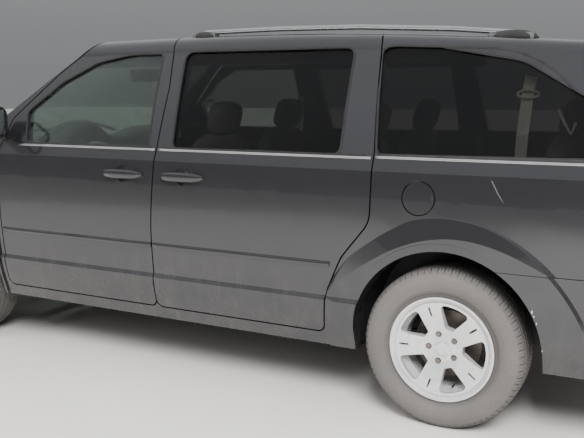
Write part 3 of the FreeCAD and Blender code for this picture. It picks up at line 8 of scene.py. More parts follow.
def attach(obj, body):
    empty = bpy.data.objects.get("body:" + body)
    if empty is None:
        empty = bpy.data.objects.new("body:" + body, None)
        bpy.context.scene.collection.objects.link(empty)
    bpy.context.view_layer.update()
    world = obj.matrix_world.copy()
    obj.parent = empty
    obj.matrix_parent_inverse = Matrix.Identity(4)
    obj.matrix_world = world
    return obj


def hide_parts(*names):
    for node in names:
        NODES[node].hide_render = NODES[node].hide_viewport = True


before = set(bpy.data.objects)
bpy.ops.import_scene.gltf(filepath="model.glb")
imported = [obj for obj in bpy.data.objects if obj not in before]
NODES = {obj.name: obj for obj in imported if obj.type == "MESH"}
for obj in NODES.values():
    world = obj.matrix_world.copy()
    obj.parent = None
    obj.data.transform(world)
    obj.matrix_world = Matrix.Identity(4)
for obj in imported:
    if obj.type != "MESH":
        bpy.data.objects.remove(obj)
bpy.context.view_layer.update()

FRONT_AXLE = 1.6115
REAR_AXLE = -1.4665
AXLE_Z = 0.360
TRACKS = {"front": (FRONT_AXLE, 1.664), "rear": (REAR_AXLE, 1.645)}
SIDES = (("left", 1), ("right", -1))
BELT_Z = 1.190
MOULDING_Z = 0.700
HANDLE_Z = 1.057
PANEL_STEP = 0.03  # how far apart points lie along a strip or an outline
CORNER_STEP = 0.012  # and round an outline's corners


# Materials


class Mat:
    """Builds one procedural material around a Principled shader."""

    def __init__(self, name):
        self.material = bpy.data.materials.new(name)
        self.material.use_nodes = True
        self.t = self.material.node_tree
        self.bsdf = self.t.nodes["Principled BSDF"]
        self.place = self.t.nodes.new("ShaderNodeTexCoord").outputs["Object"]

    def node(self, kind, **values):
        n = self.t.nodes.new("ShaderNode" + kind)
        for key, value in values.items():
            if hasattr(n, key):
                setattr(n, key, value)
            else:
                n.inputs[key.replace("_", " ")].default_value = value
        return n

    def link(self, a, b):
        self.t.links.new(a, b)

    def feed(self, socket, value):
        """Gives a socket a number, a colour or another node's output."""
        if isinstance(value, tuple):
            socket.default_value = (*value, 1.0)
        elif isinstance(value, (int, float)):
            socket.default_value = value
        else:
            self.link(value, socket)

    def fed(self, kind, *inputs, **values):
        """The first output of a node whose inputs are fed in order."""
        n = self.node(kind, **values)
        for socket, value in zip(n.inputs, inputs):
            self.feed(socket, value)
        return n.outputs[0]

    def noise(self, scale, detail=4.0, rough=0.6, stretch=None):
        n = self.node("TexNoise", Scale=scale, Detail=detail, Roughness=rough)
        source = self.fed("Mapping", self.place, Scale=stretch) if stretch else self.place
        self.link(source, n.inputs["Vector"])
        return n.outputs["Fac"]

    def ramp(self, value, low, high, a=0.0, b=1.0):
        return self.fed("MapRange", value, low, high, a, b, clamp=True)

    def maths(self, op, *values):
        return self.fed("Math", *values, operation=op)

    def axis(self, i):
        n = self.node("SeparateXYZ")
        self.link(self.place, n.inputs[0])
        return n.outputs[i]

    def mix(self, fac, a, b):
        return self.fed("MixRGB", fac, a, b)

    def set(self, name, value):
        self.feed(self.bsdf.inputs[name], value)

    def bump(self, height, strength=0.3, distance=0.001):
        n = self.node("Bump", Strength=strength, Distance=distance)
        self.link(height, n.inputs["Height"])
        self.set("Normal", n.outputs[0])


def simple(name, base, rough, metallic=0.0, vary=0.25, scale=14.0, bump=0.0, coat=0.0):
    """A finish whose tone and roughness wander a little, with optional grain."""
    m = Mat(name)
    patch = m.noise(scale, 5.0)
    dark = tuple(c * (1 - vary) for c in base)
    light = tuple(min(1.0, c * (1 + vary)) for c in base)
    m.set("Base Color", m.mix(m.ramp(patch, 0.3, 0.7), dark, light))
    low, high = rough * 0.8, min(1.0, rough * 1.2)
    m.set("Roughness", m.ramp(m.noise(scale * 2.3, 4.0), 0.3, 0.7, low, high))
    m.set("Metallic", metallic)
    if coat:
        m.set("Coat Weight", coat)
    if bump:
        m.bump(m.noise(scale * 40, 3.0), bump, 0.0006)
    return m.material


def body_paint(name):
    """Graphite metallic under clear coat, dusty low down and streaked."""
    m = Mat(name)
    flake = m.noise(2400.0, 2.0)
    base = m.mix(m.ramp(flake, 0.42, 0.62), (0.024, 0.0245, 0.028), (0.052, 0.052, 0.057))
    low = m.ramp(m.axis(2), 0.30, 0.85, 1.0, 0.0)
    patch = m.noise(7.0, 8.0, 0.65)
    streak = m.noise(5.0, 6.0, 0.6, stretch=(6.0, 6.0, 0.8))
    amount = m.maths("ADD", m.maths("MULTIPLY", low, 0.12), 0.015)
    dust = m.maths("MULTIPLY", m.ramp(patch, 0.35, 0.75), amount)
    runs = m.maths("MULTIPLY", m.ramp(streak, 0.5, 0.8), m.maths("MULTIPLY", low, 0.12))
    dust = m.maths("ADD", dust, runs)
    m.set("Base Color", m.mix(dust, base, (0.22, 0.20, 0.175)))
    m.set("Roughness", m.maths("ADD", m.maths("MULTIPLY", dust, 0.6), 0.24))
    m.set("Metallic", m.maths("SUBTRACT", 0.75, dust))
    m.set("Coat Weight", m.ramp(dust, 0.0, 0.5, 1.0, 0.3))
    m.set("Coat Roughness", m.ramp(patch, 0.3, 0.8, 0.02, 0.07))
    m.bump(m.noise(900.0, 2.0), 0.03, 0.0002)
    return m.material


def glass(name, through, gloss=0.06):
    """Glass seen in both directions: a tinted clear layer under a mirror-like film."""
    m = Mat(name)
    patch = m.ramp(m.noise(3.0, 3.0), 0.3, 0.7)
    m.set("Base Color", m.mix(patch, (0.78, 0.80, 0.82), (0.90, 0.91, 0.92)))
    m.set("Roughness", m.ramp(m.noise(40.0, 4.0), 0.3, 0.8, 0.015, 0.045))
    m.set("Metallic", 1.0)
    edge = m.node("LayerWeight", Blend=0.22)
    share = m.maths("ADD", m.maths("MULTIPLY", edge.outputs["Fresnel"], 0.7), gloss)
    film = m.fed("MixShader", share, m.fed("BsdfTransparent", through), m.bsdf.outputs[0])
    m.link(film, m.t.nodes["Material Output"].inputs["Surface"])
    return m.material


MATS = {
    "paint": body_paint("graphite_paint"),
    "black_gloss": simple("black_gloss", (0.012, 0.012, 0.013), 0.16, coat=0.5),
    "black": simple("black_plastic", (0.022, 0.022, 0.022), 0.55, bump=0.3),
    "rubber": simple("seal_rubber", (0.016, 0.016, 0.016), 0.72, bump=0.2),
    "under": simple("underbody_paint", (0.035, 0.034, 0.033), 0.7, bump=0.35, vary=0.4),
    "chrome": simple("belt_chrome", (0.72, 0.72, 0.73), 0.14, 1.0, vary=0.05),
    "rail": simple("rail_satin", (0.55, 0.56, 0.57), 0.30, 1.0, vary=0.08),
    "steel": simple("stained_steel", (0.36, 0.31, 0.27), 0.45, 0.9, vary=0.35),
    "iron": simple("disc_iron", (0.20, 0.17, 0.15), 0.55, 0.7, vary=0.5),
    "cast": simple("cast_alloy", (0.33, 0.33, 0.33), 0.6, 0.6, vary=0.3),
    "trim": simple("cabin_trim", (0.11, 0.105, 0.10), 0.62, bump=0.4),
    "seat": simple("seat_cloth", (0.19, 0.185, 0.17), 0.95, bump=0.9, vary=0.15, scale=20.0),
    # Pale cream belt webbing and rings: partly the webbing's own colour, partly painted sunlight
    # that keeps the belts bright behind the dark glass
    "belt": simple("belt_web_painted_sunlight", (0.80, 0.83, 0.68), 0.85, bump=0.8, vary=0.10),
    "nut": simple("lug_bronze", (0.42, 0.33, 0.24), 0.35, 1.0, vary=0.3),
    "lamp_clear": glass("clear_lens", (0.80, 0.81, 0.82), 0.10),
    "lamp_red": simple("red_lens", (0.38, 0.012, 0.010), 0.12, coat=1.0),
    "clear_glass": glass("door_glass", (0.74, 0.80, 0.76), 0.04),
    "dark_glass": glass("privacy_glass", (0.42, 0.42, 0.42), 0.01),
    "amber": simple("amber_lens", (0.80, 0.30, 0.03), 0.15, vary=0.06, coat=0.8),
    # Near-black paint for the oval behind each door grip: painted shade standing for the cup's
    # hollow
    "cup_shade": simple("cup_shadow_paint", (0.020, 0.019, 0.021), 0.35, vary=0.15, coat=0.4),
    "scuff": simple("bare_scuff", (0.62, 0.61, 0.60), 0.7, vary=0.1),
    "mirror": simple("mirror_face", (0.75, 0.76, 0.78), 0.04, 1.0, vary=0.03),
}


def alloy_paint():
    """Silver wheel lacquer with brake dust in random patches and a speckled film."""
    m = Mat("wheel_silver")
    dirt = m.noise(30.0, 8.0, 0.7)
    fine = m.noise(160.0, 3.0)
    grime = m.maths("MULTIPLY", m.ramp(dirt, 0.52, 0.85), 0.5)
    base = m.mix(m.ramp(fine, 0.35, 0.7), (0.64, 0.64, 0.64), (0.74, 0.74, 0.745))
    m.set("Base Color", m.mix(grime, base, (0.20, 0.17, 0.14)))
    m.set("Metallic", m.maths("SUBTRACT", 0.55, grime))
    m.set("Roughness", m.maths("ADD", m.maths("MULTIPLY", grime, 0.5), 0.30))
    m.set("Coat Weight", 0.35)
    return m.material


def tyre_rubber():
    """Dusty grey walls in fine rings, darker at the bead and over the tread."""
    m = Mat("dusty_tyre")
    middle, half = (FRONT_AXLE + REAR_AXLE) / 2, (FRONT_AXLE - REAR_AXLE) / 2
    along = m.maths("SUBTRACT", m.maths("ABSOLUTE", m.maths("SUBTRACT", m.axis(0), middle)), half)
    up = m.maths("SUBTRACT", m.axis(2), AXLE_Z)
    squares = m.maths("ADD", m.maths("MULTIPLY", along, along), m.maths("MULTIPLY", up, up))
    radius = m.maths("SQRT", squares)
    patch = m.noise(6.0, 6.0, 0.55)
    fine = m.noise(220.0, 4.0)
    ring = m.maths("SINE", m.maths("MULTIPLY", radius, 900.0))
    film = m.ramp(radius, 0.225, 0.262, 0.20, 0.40)
    dust = m.maths("MULTIPLY", m.ramp(patch, 0.3, 0.7, 0.75, 1.0), film)
    dust = m.maths("ADD", dust, m.maths("MULTIPLY", ring, 0.012))
    dust = m.maths("SUBTRACT", dust, m.ramp(radius, 0.331, 0.345, 0.0, 0.08))
    dust = m.maths("ADD", dust, m.ramp(fine, 0.4, 0.7, -0.05, 0.05))
    m.set("Base Color", m.mix(dust, (0.034, 0.033, 0.032), (0.29, 0.27, 0.252)))
    m.set("Roughness", m.ramp(patch, 0.2, 0.8, 0.72, 0.95))
    m.bump(fine, 0.25, 0.0006)
    return m.material


MATS["alloy"] = alloy_paint()
MATS["tyre"] = tyre_rubber()

# The CAD nodes' finishes; rims, tyres and brake discs go by the first word of their names
FINISHES = {
    "paint": (
        "body_side_left", "body_side_right", "front_door_left", "front_door_right",
        "sliding_door_left", "sliding_door_right", "roof_panel", "front_fenders", "front_bumper",
        "rear_bumper", "hood", "liftgate", "fuel_door",
    ),
    "black": ("grille", "wheel_housings", "firewall_cowl", "radiator_support", "fuel_tank"),
    "lamp_clear": ("headlamps",),
    "lamp_red": ("tail_lamps",),
    "clear_glass": ("windshield", "front_door_glass_left", "front_door_glass_right"),
    "dark_glass": ("rear_side_glass", "liftgate_glass"),
    "under": (
        "floor_pan", "front_subframe", "rear_axle", "steering_knuckle_left",
        "steering_knuckle_right",
    ),
    "cast": ("engine_block",),
    "steel": ("exhaust_system",),
    "seat": ("captain_seats", "rear_bench"),
    "trim": ("dashboard", "steering_wheel"),
    "rail": ("roof_rails",),
    "black_gloss": ("side_mirror_left", "side_mirror_right"),
}
NODE_MATS = {node: key for key, nodes in FINISHES.items() for node in nodes}
WHEEL_MATS = {"rim": "alloy", "tyre": "tyre", "brake": "iron"}

for name, node in NODES.items():
    node.data.materials.clear()
    node.data.materials.append(MATS[NODE_MATS.get(name) or WHEEL_MATS[name.split("_")[0]]])


# Small builders


def placed(name, data):
    """Puts a mesh, a light or a camera into the scene."""
    obj = bpy.data.objects.new(name, data)
    bpy.context.scene.collection.objects.link(obj)
    return obj


def piece(name, verts, faces, key, body, smooth=True):
    """A mesh from points and faces, dressed and riding on a body."""
    mesh = bpy.data.meshes.new(name)
    mesh.from_pydata(verts, [], faces)
    mesh.validate()
    obj = placed(name, mesh)
    for p in mesh.polygons:
        p.use_smooth = smooth
    mesh.materials.append(MATS[key])
    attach(obj, body)
    return obj


def tree(name):
    """A ray-casting tree over one CAD node."""
    mesh, world = NODES[name].data, NODES[name].matrix_world
    verts = [world @ v.co for v in mesh.vertices]
    return BVHTree.FromPolygons(verts, [tuple(p.vertices) for p in mesh.polygons])


UP, DOWN = (0, 0, 1), (0, 0, -1)
FORWARD, BACKWARD = (1, 0, 0), (-1, 0, 0)
# Where rays start that meet the sides, the tail and the nose
BESIDE_Y, BEHIND_X, AHEAD_X = 1.4, -2.7, 3.0


def cast(bvh, start, direction):
    """Where a ray first meets the surface, and the normal facing back along it."""
    d = Vector(direction)
    hit, normal, _, _ = bvh.ray_cast(Vector(start), d)
    if hit is None:
        return None
    return hit, (-normal if normal.dot(d) > 0 else normal)


def on_side(bvh, x, z, side):
    """The outer surface of the body side at (x, z) and its normal."""
    return cast(bvh, (x, side * BESIDE_Y, z), (0, -side, 0))


def circle(around):
    """The cosine and sine at each step of a full turn."""
    turns = [2 * math.pi * k / around for k in range(around)]
    return [(math.cos(a), math.sin(a)) for a in turns]


def ring_faces(rings, around, capped=False, looped=False):
    """Quads between successive rings of points, with caps or the ends joined."""
    faces = []
    for i in range(rings if looped else rings - 1):
        here, there = i * around, (i + 1) % rings * around
        for k in range(around):
            n = (k + 1) % around
            faces.append((here + k, here + n, there + n, there + k))
    if capped:
        faces.append(tuple(range(around))[::-1])
        faces.append(tuple(range((rings - 1) * around, rings * around)))
    return faces


def sweep(points, normals, profile, closed=False):
    """Runs a profile of (out, across) along points with surface normals."""
    count = len(points)
    verts = []
    for i, (p, n) in enumerate(zip(points, normals)):
        a = points[i - 1] if (i > 0 or closed) else points[i]
        b = points[(i + 1) % count] if (i < count - 1 or closed) else points[i]
        t = (b - a).normalized()
        across = n.cross(t).normalized()
        n = t.cross(across)
        verts += [p + n * out + across * side for out, side in profile]
    return verts, ring_faces(count, len(profile), not closed, closed)


def trim(name, hits, profile, key, body, closed=False):
    """A strip swept along the places where rays met a surface."""
    points, normals = zip(*[hit for hit in hits if hit])
    verts, faces = sweep(points, normals, profile, closed)
    piece(name, verts, faces, key, body)


def strip(name, path, profile, key, body, bvh, side, step=PANEL_STEP, closed=False):
    """A trim strip laid on the body side along (x, z) corners."""
    loop = path + [path[0]] if closed else path
    spots = []
    for (x0, z0), (x1, z1) in zip(loop, loop[1:]):
        n = max(1, int(math.hypot(x1 - x0, z1 - z0) / step))
        spots += [(x0 + (x1 - x0) * k / n, z0 + (z1 - z0) * k / n) for k in range(n)]
    if not closed:
        spots.append(loop[-1])
    hits = [on_side(bvh, x, z, side) for x, z in spots]
    trim(name, hits, profile, key, body, closed)


# Outlines of the windows, as (along, up, corner radius) in millimetres
FRONT_WINDOW = [
    (84, 1198, 20), (932, 1198, 22), (968, 1362, 30), (760, 1520, 120),
    (540, 1625, 160), (330, 1662, 300), (112, 1664, 26), (100, 1400, 300),
]
SLIDING_WINDOW = [(-985, 1198, 30), (-72, 1198, 24), (-38, 1668, 40), (-972, 1664, 40)]
QUARTER_WINDOW = [
    (-2160, 1214, 40), (-1166, 1204, 26), (-1110, 1668, 36),
    (-1380, 1655, 300), (-1740, 1590, 260), (-2020, 1430, 140),
]
QUARTER_BORDER = [(-2160, 1214, 40), (-1166, 1204, 26), (-1110, 1670, 36), (-1811, 1632, 500)]
QUARTER_MIDDLE = Vector((-1.62, 1.40))
# The windscreen's edge from above, as (forward, left, corner radius)
SCREEN_EDGE = [
    (690, -660, 60), (1008, -778, 500), (1300, -838, 900), (1580, -858, 60), (1612, 0, 3000),
    (1580, 858, 60), (1300, 838, 900), (1008, 778, 500), (690, 660, 60), (668, 0, 3000),
]
GATE_WINDOW = [(-650, 1200, 50), (650, 1200, 50), (540, 1610, 60), (-540, 1610, 60)]


def rounded(outline, out=0.0):
    """Points round an outline with its corners turned, moved outward by out metres."""
    points = []
    count = len(outline)
    for i in range(count):
        before, here, after = (Vector(outline[j % count][:2]) / 1000 for j in (i - 1, i, i + 1))
        radius = outline[i][2] / 1000
        a, b = (before - here).normalized(), (after - here).normalized()
        angle = a.angle(b)
        reach = radius / math.tan(angle / 2)
        middle = (a + b).normalized()
        centre = here + middle * (radius / math.sin(angle / 2))
        start, end = here + a * reach - centre, here + b * reach - centre
        turn = math.pi - angle
        steps = max(2, int(radius * turn / CORNER_STEP))
        sign = 1 if start.x * end.y - start.y * end.x > 0 else -1
        for k in range(steps + 1):
            t = sign * turn * k / steps
            c, s = math.cos(t), math.sin(t)
            points.append(centre + Vector((start.x * c - start.y * s, start.x * s + start.y * c)))
    dense = []
    for p, q in zip(points, points[1:] + points[:1]):
        n = max(1, int((q - p).length / PANEL_STEP))
        dense += [p.lerp(q, k / n) for k in range(n)]
    moved = []
    for i, p in enumerate(dense):
        t = (dense[(i + 1) % len(dense)] - dense[i - 1]).normalized()
        moved.append((p.x + t.y * out, p.y - t.x * out))
    return moved


def section(proud, tall, sink=0.001):
    """A low trim section with softened corners, as (out, across)."""
    h = tall / 2
    e = min(proud, h) * 0.35
    outer = [(proud - e, -h), (proud, -h + e), (proud, h - e), (proud - e, h)]
    return [(-sink, -h)] + outer + [(-sink, h)]


# Strips, seals and handles along each side


PANELS = ("front_door_", "sliding_door_", "body_side_")
# A ray-casting tree for each panel that carries trim
TREES = {panel + side: tree(panel + side) for side, _ in SIDES for panel in PANELS}


def reach(outline, turn):
    """How far an outline lies from the quarter window's middle in one direction."""
    d = Vector((math.cos(turn), math.sin(turn)))
    best = 0.0
    for a, b in zip(outline, outline[1:] + outline[:1]):
        a, b = Vector(a) - QUARTER_MIDDLE, Vector(b) - QUARTER_MIDDLE
        across = (b - a).cross(d)
        if abs(across) > 1e-12:
            t = (b - a).cross(a) / across
            u = d.cross(a) / across
            if t > 0 and 0 <= u <= 1:
                best = max(best, t)
    return best


BORDER_RAYS = 150
PRINT_FOOT = 1.5  # the printed band shows only above this height


def quarter_border():
    """Pairs of points round the quarter glass: its opening and its printed border."""
    opening, border = rounded(QUARTER_WINDOW, 0.004), rounded(QUARTER_BORDER, 0.004)
    pairs = []
    for k in range(BORDER_RAYS):
        turn = 2 * math.pi * k / BORDER_RAYS
        d = Vector((math.cos(turn), math.sin(turn)))
        inner = reach(opening, turn)
        outer = max(inner + 0.002, reach(border, turn))
        pairs.append((tuple(QUARTER_MIDDLE + d * inner), tuple(QUARTER_MIDDLE + d * outer)))
    return pairs


def printed_border(tag, side, bvh):
    """Black glass print over the body between the opening and the border."""
    verts, faces = [], []
    for inner, outer in quarter_border():
        hits = [on_side(bvh, x, z, side) for x, z in (inner, outer)]
        if None in hits or inner[1] < PRINT_FOOT:
            continue
        verts += [hit + normal * 0.0012 for hit, normal in hits]
    for k in range(0, len(verts) - 2, 2):
        faces.append((k, k + 1, k + 3, k + 2))
    piece("quarter_glass_print_" + tag, verts, faces, "black_gloss", "body")


# The side moulding's section, as (out, across)
MOULDING = [
    (-0.001, -0.011), (0.004, -0.011), (0.0075, -0.006), (0.0085, 0.003),
    (0.0075, 0.009), (0.004, 0.011), (-0.001, 0.011),
]


def side_trim():
    """Belt strips, seals, track covers and mouldings along both sides."""
    for tag, s in SIDES:
        front, slide, quarter = "front_door_" + tag, "sliding_door_" + tag, "body_side_" + tag

        def lay(name, node, body, path, profile, key, **options):
            strip(name, path, profile, key, body, TREES[node], s, **options)

        # Panel, the body that it rides on, rear end, front end, height over the doors' line
        runs = (
            (front, front, 0.036, 0.985, 0.0),
            (slide, "body", -1.140, 0.020, 0.0),
            (quarter, "body", -2.190, -1.158, 0.004),
        )
        for node, body, x0, x1, lift in runs:
            z = BELT_Z - 0.005 + lift
            path = [(x0, z), (x1, z)]
            lay("belt_strip_" + node, node, body, path, section(0.0035, 0.011), "chrome")
        for node, body, x0, x1, _ in runs[:2]:
            z, inset = BELT_Z + 0.005, 0.03
            path = [(x0 + inset, z), (x1 - inset, z)]
            lay("belt_seal_" + node, node, body, path, section(0.0045, 0.009), "rubber")
        rings = (
            ("front_window_seal_", rounded(FRONT_WINDOW, 0.005), front, front),
            ("sliding_window_seal_", rounded(SLIDING_WINDOW, 0.005), slide, "body"),
            ("quarter_window_seal_", [outer for _, outer in quarter_border()], quarter, "body"),
        )
        for name, ring, node, body in rings:
            seal = section(0.0025, 0.010, 0.002)
            lay(name + tag, node, body, ring, seal, "rubber", step=1.0, closed=True)
        printed_border(tag, s, TREES[quarter])
        cover = [(-2.150, 1.2015), (-1.172, 1.1975)]
        lay("track_cover_" + tag, quarter, "body", cover, section(0.003, 0.012), "black")
        for node, body, x0, x1 in ((front, front, 0.060, 1.122), (slide, "body", -0.9525, 0.046)):
            path = [(x0, MOULDING_Z), (x1, MOULDING_Z)]
            lay("side_moulding_" + node, node, body, path, MOULDING, "paint")


def handle(name, x0, x1, z, body, bvh, side):
    """A grip that springs from the skin at both ends, over a dark oval of painted shade."""
    middle, half = (x0 + x1) / 2, (x1 - x0) / 2
    count, around = 28, 16
    ends = [on_side(bvh, x, z, side)[0].y for x in (x0, x1)]
    verts = []
    for i in range(count + 1):
        t = -1 + 2 * i / count
        x = middle + half * t * 0.985
        skin_y = ends[0] + (ends[1] - ends[0]) * (t + 1) / 2
        end = max(0.0, 1 - abs(t) ** 6)
        out = 0.012 + 0.028 * (1 - abs(t) ** 3.0)
        tall = 0.0225 * (1 - 0.30 * abs(t) ** 3) * (0.25 + 0.75 * end ** 0.5) + 0.0005
        thick = 0.0125 * (0.35 + 0.65 * end ** 0.5) + (0.007 if abs(t) > 0.72 else 0.0) * end
        lift = 0.002 * (1 - t * t)
        for c, h in circle(around):
            bulge = math.copysign(abs(c) ** 0.75, c)
            rise = math.copysign(abs(h) ** 0.8, h)
            y = skin_y + side * (out - 0.010 + thick * bulge)
            verts.append((x, y, z + lift + tall * rise))
    piece(name, verts, ring_faces(count + 1, around, True), "paint", body)
    for x in (x0 + 0.024, x1 - 0.024):
        hit, _ = on_side(bvh, x, z, side)
        low = (x - 0.011, hit.y - side * 0.003, z - 0.010)
        high = (x + 0.011, hit.y + side * 0.016, z + 0.012)
        block("%s_foot_%d" % (name, round(x * 1000)), low, high, "rubber", body)
    shade_behind_grip(name, middle - 0.004, z + 0.004, body, bvh, side)


def shade_behind_grip(name, x, z, body, bvh, side):
    """Painted shade in the scooped cup behind a grip: a dark oval of rings laid on the skin."""
    around, rings = 32, 5
    half_long, half_tall = 0.056, 0.043
    verts = []
    for i in range(rings):
        t = (i + 0.15) / (rings - 0.85)
        for c, h in circle(around):
            spot = on_side(bvh, x + half_long * t * c, z + half_tall * t * h, side)
            verts.append(spot[0] + spot[1] * (0.0008 if i < rings - 1 else 0.0003))
    faces = ring_faces(rings, around) + [tuple(range(around))]
    piece(name + "_cup", verts, faces, "cup_shade", body)


def block(name, low, high, key, body, bevel=0.002):
    """A box between two corners with softened edges."""
    xs, ys, zs = (sorted(pair) for pair in zip(low, high))
    v = [(x, y, z) for x in xs for y in ys for z in zs]
    f = [(0, 1, 3, 2), (4, 6, 7, 5), (0, 4, 5, 1), (2, 3, 7, 6), (0, 2, 6, 4), (1, 5, 7, 3)]
    obj = piece(name, v, f, key, body, smooth=False)
    edge = obj.modifiers.new("edge", "BEVEL")
    edge.width = bevel
    edge.segments = 2


def handles():
    """The front and the sliding doors' grips."""
    for tag, s in SIDES:
        front, slide = "front_door_" + tag, "sliding_door_" + tag
        handle("door_handle_front_" + tag, 0.0975, 0.3545, HANDLE_Z, front, TREES[front], s)
        handle("door_handle_sliding_" + tag, -0.2795, -0.0195, HANDLE_Z, "body", TREES[slide], s)


side_trim()
handles()


# Tyres: ribs, grooves and sipes over the tread, plain walls


def arc3(a, b, c, count):
    """Points from a through b to c on the circle through all three."""
    (ax, ay), (bx, by), (cx, cy) = a, b, c
    a2, b2, c2 = ax**2 + ay**2, bx**2 + by**2, cx**2 + cy**2
    d = 2 * (ax * (by - cy) + bx * (cy - ay) + cx * (ay - by))
    ux = (a2 * (by - cy) + b2 * (cy - ay) + c2 * (ay - by)) / d
    uy = (a2 * (cx - bx) + b2 * (ax - cx) + c2 * (bx - ax)) / d
    r = math.hypot(ax - ux, ay - uy)
    t0, t1, t2 = (math.atan2(q[1] - uy, q[0] - ux) for q in (a, b, c))
    while t1 < t0:
        t1 += 2 * math.pi
    while t2 < t0:
        t2 += 2 * math.pi
    if t2 < t1:
        t2 -= 2 * math.pi
    turns = [t0 + (t2 - t0) * k / count for k in range(count + 1)]
    return [(ux + r * math.cos(t), uy + r * math.sin(t)) for t in turns]


# The tyre's half section from the bead to the tread, as (radius, across)
BEAD = (0.2163, 0.084)
WALL = ((0.246, 0.089), (0.290, 0.1125), (0.335, 0.1035))
WALL_RIDGE = (3, 4)  # steps of the wall that stand proud
SHOULDER = ((0.335, 0.1035), (0.352, 0.0885), (0.3585, 0.0645))
# The lateral groove's depth at each step over the shoulder
SHOULDER_LUGS = (0.0, 0.002, 0.0045, 0.006, 0.007, 0.007, 0.007, 0.007, 0.007)
TREAD_RADIUS = 0.360
TREAD_HALF = 0.0645
# Over the tread: where its crown is taken, place across, and the depths of the long groove,
# the lateral groove and the sipe
RIBS = (
    (0.0565, 0.0565, 0.0, 0.007, 0.0035),
    (0.0555, 0.0550, 0.008, 0.0, 0.0),
    (0.0500, 0.0490, 0.008, 0.0, 0.0),
    (0.0475, 0.0475, 0.0, 0.005, 0.0035),
    (0.0360, 0.0360, 0.0, 0.0, 0.003),
    (0.0245, 0.0245, 0.0, 0.004, 0.003),
    (0.0235, 0.0230, 0.008, 0.0, 0.0),
    (0.0165, 0.0170, 0.008, 0.0, 0.0),
    (0.0155, 0.0155, 0.0, 0.003, 0.003),
)
PITCHES = 72
# Round the tyre within one pitch: (place, share of the lateral groove, share of the sipe)
PITCH_STEPS = (
    (0.0, 0, 0), (0.015, 1, 0), (0.125, 1, 0), (0.14, 0, 0),
    (0.55, 0, 0), (0.565, 0, 1), (0.59, 0, 1), (0.605, 0, 0),
)
TREAD_SKEW = 3.5  # pitches that the grooves turn per metre across


def tread_columns():
    """(radius, across, groove depth, sipe depth) from one bead to the other."""
    half = [(*BEAD, 0.0, 0.0)]
    for i, (r, y) in enumerate(arc3(*WALL, 14)[:-1]):
        half.append((r, y if i in WALL_RIDGE else y - 0.0008, 0.0, 0.0))
    for i, (r, y) in enumerate(arc3(*SHOULDER, 8)):
        half.append((r, y, SHOULDER_LUGS[i], 0.0035 if i > 3 else 0.0))

    def crown(y):
        return TREAD_RADIUS - 0.0015 * (y / TREAD_HALF) ** 2

    half += [(crown(at) - sunk, y, groove, sipe) for at, y, sunk, groove, sipe in RIBS]
    mirrored = [(r, -y, groove, sipe) for r, y, groove, sipe in reversed(half)]
    return half + [(crown(0.0), 0.0, 0.0, 0.0025)] + mirrored


def tyre(tag, centre):
    """A treaded tyre that takes the place of the plain solid."""
    columns = tread_columns()
    verts, faces = [], []
    for p in range(PITCHES):
        for place, groove, sipe in PITCH_STEPS:
            for r, y, g, s in columns:
                skew = math.copysign(TREAD_SKEW * max(0.0, abs(y) - 0.016), y)
                shift = 0.5 if y < 0 else 0.0
                a = 2 * math.pi * (p + place + skew + shift) / PITCHES
                deep = r - g * groove - s * sipe
                x, z = deep * math.cos(a), deep * math.sin(a)
                verts.append((centre[0] + x, centre[1] + y, centre[2] + z))
    width, total = len(columns), PITCHES * len(PITCH_STEPS)
    for i in range(total):
        for k in range(width - 1):
            a, b = i * width + k, (i + 1) % total * width + k
            faces.append((a, a + 1, b + 1, b))
    obj = piece("tread_tyre_" + tag, verts, faces, "tyre", "wheel_" + tag, smooth=False)
    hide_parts("tyre_" + tag)


def hexagon(centre, radius, y0, y1, dome, turn=0.0):
    """A nut or a cap: a hexagon along y with a domed end."""
    rings = (
        (radius, y0), (radius, y1), (radius * 0.82, y1 + dome * 0.6),
        (radius * 0.45, y1 + dome), (0.001, y1 + dome * 1.1),
    )
    verts = []
    for r, y in rings:
        for k in range(6):
            a = turn + math.pi * k / 3
            verts.append((centre[0] + r * math.cos(a), y, centre[1] + r * math.sin(a)))
    return verts, ring_faces(len(rings), 6)


LUG_CIRCLE = 0.0635
VALVE_CIRCLE = 0.172
VALVE_TURN = 252


def wheels():
    """Tread, lug nuts and valve of each wheel."""
    for end, (x, track) in TRACKS.items():
        for tag, s in SIDES:
            name, y = end + "_" + tag, s * track / 2

            def at(radius, turn):
                return x + radius * math.cos(turn), AXLE_Z + radius * math.sin(turn)

            tyre(name, (x, y, AXLE_Z))
            verts, faces = [], []
            for k in range(5):
                a = math.radians(72 * k)
                v, f = hexagon(at(LUG_CIRCLE, a), 0.0125, y + s * 0.030, y + s * 0.056, s * 0.006, a)
                faces += [tuple(q + len(verts) for q in face) for face in f]
                verts += v
            piece("lug_nuts_" + name, verts, faces, "nut", "wheel_" + name, smooth=False)
            spot = at(VALVE_CIRCLE, math.radians(VALVE_TURN))
            v, f = hexagon(spot, 0.0045, y + s * 0.052, y + s * 0.082, s * 0.003)
            piece("valve_" + name, v, f, "rubber", "wheel_" + name)


wheels()


# Seats: rounded cushions with seams, over plain bases


CUSHION_GRID = 16
SEAM_WIDTH = 0.045
# The single seats, as (name, forward, left)
SINGLE_SEATS = (
    ("driver", 0.43, 0.37), ("passenger", 0.43, -0.37),
    ("middle_left", -0.48, 0.40), ("middle_right", -0.48, -0.40),
)
CABIN_FLOOR = 0.350
SEAT_WIDTH = 0.5
SEAT_LEAN = -16
BENCH_X = -1.5
BENCH_FLOOR = 0.520
BENCH_LEAN = -14


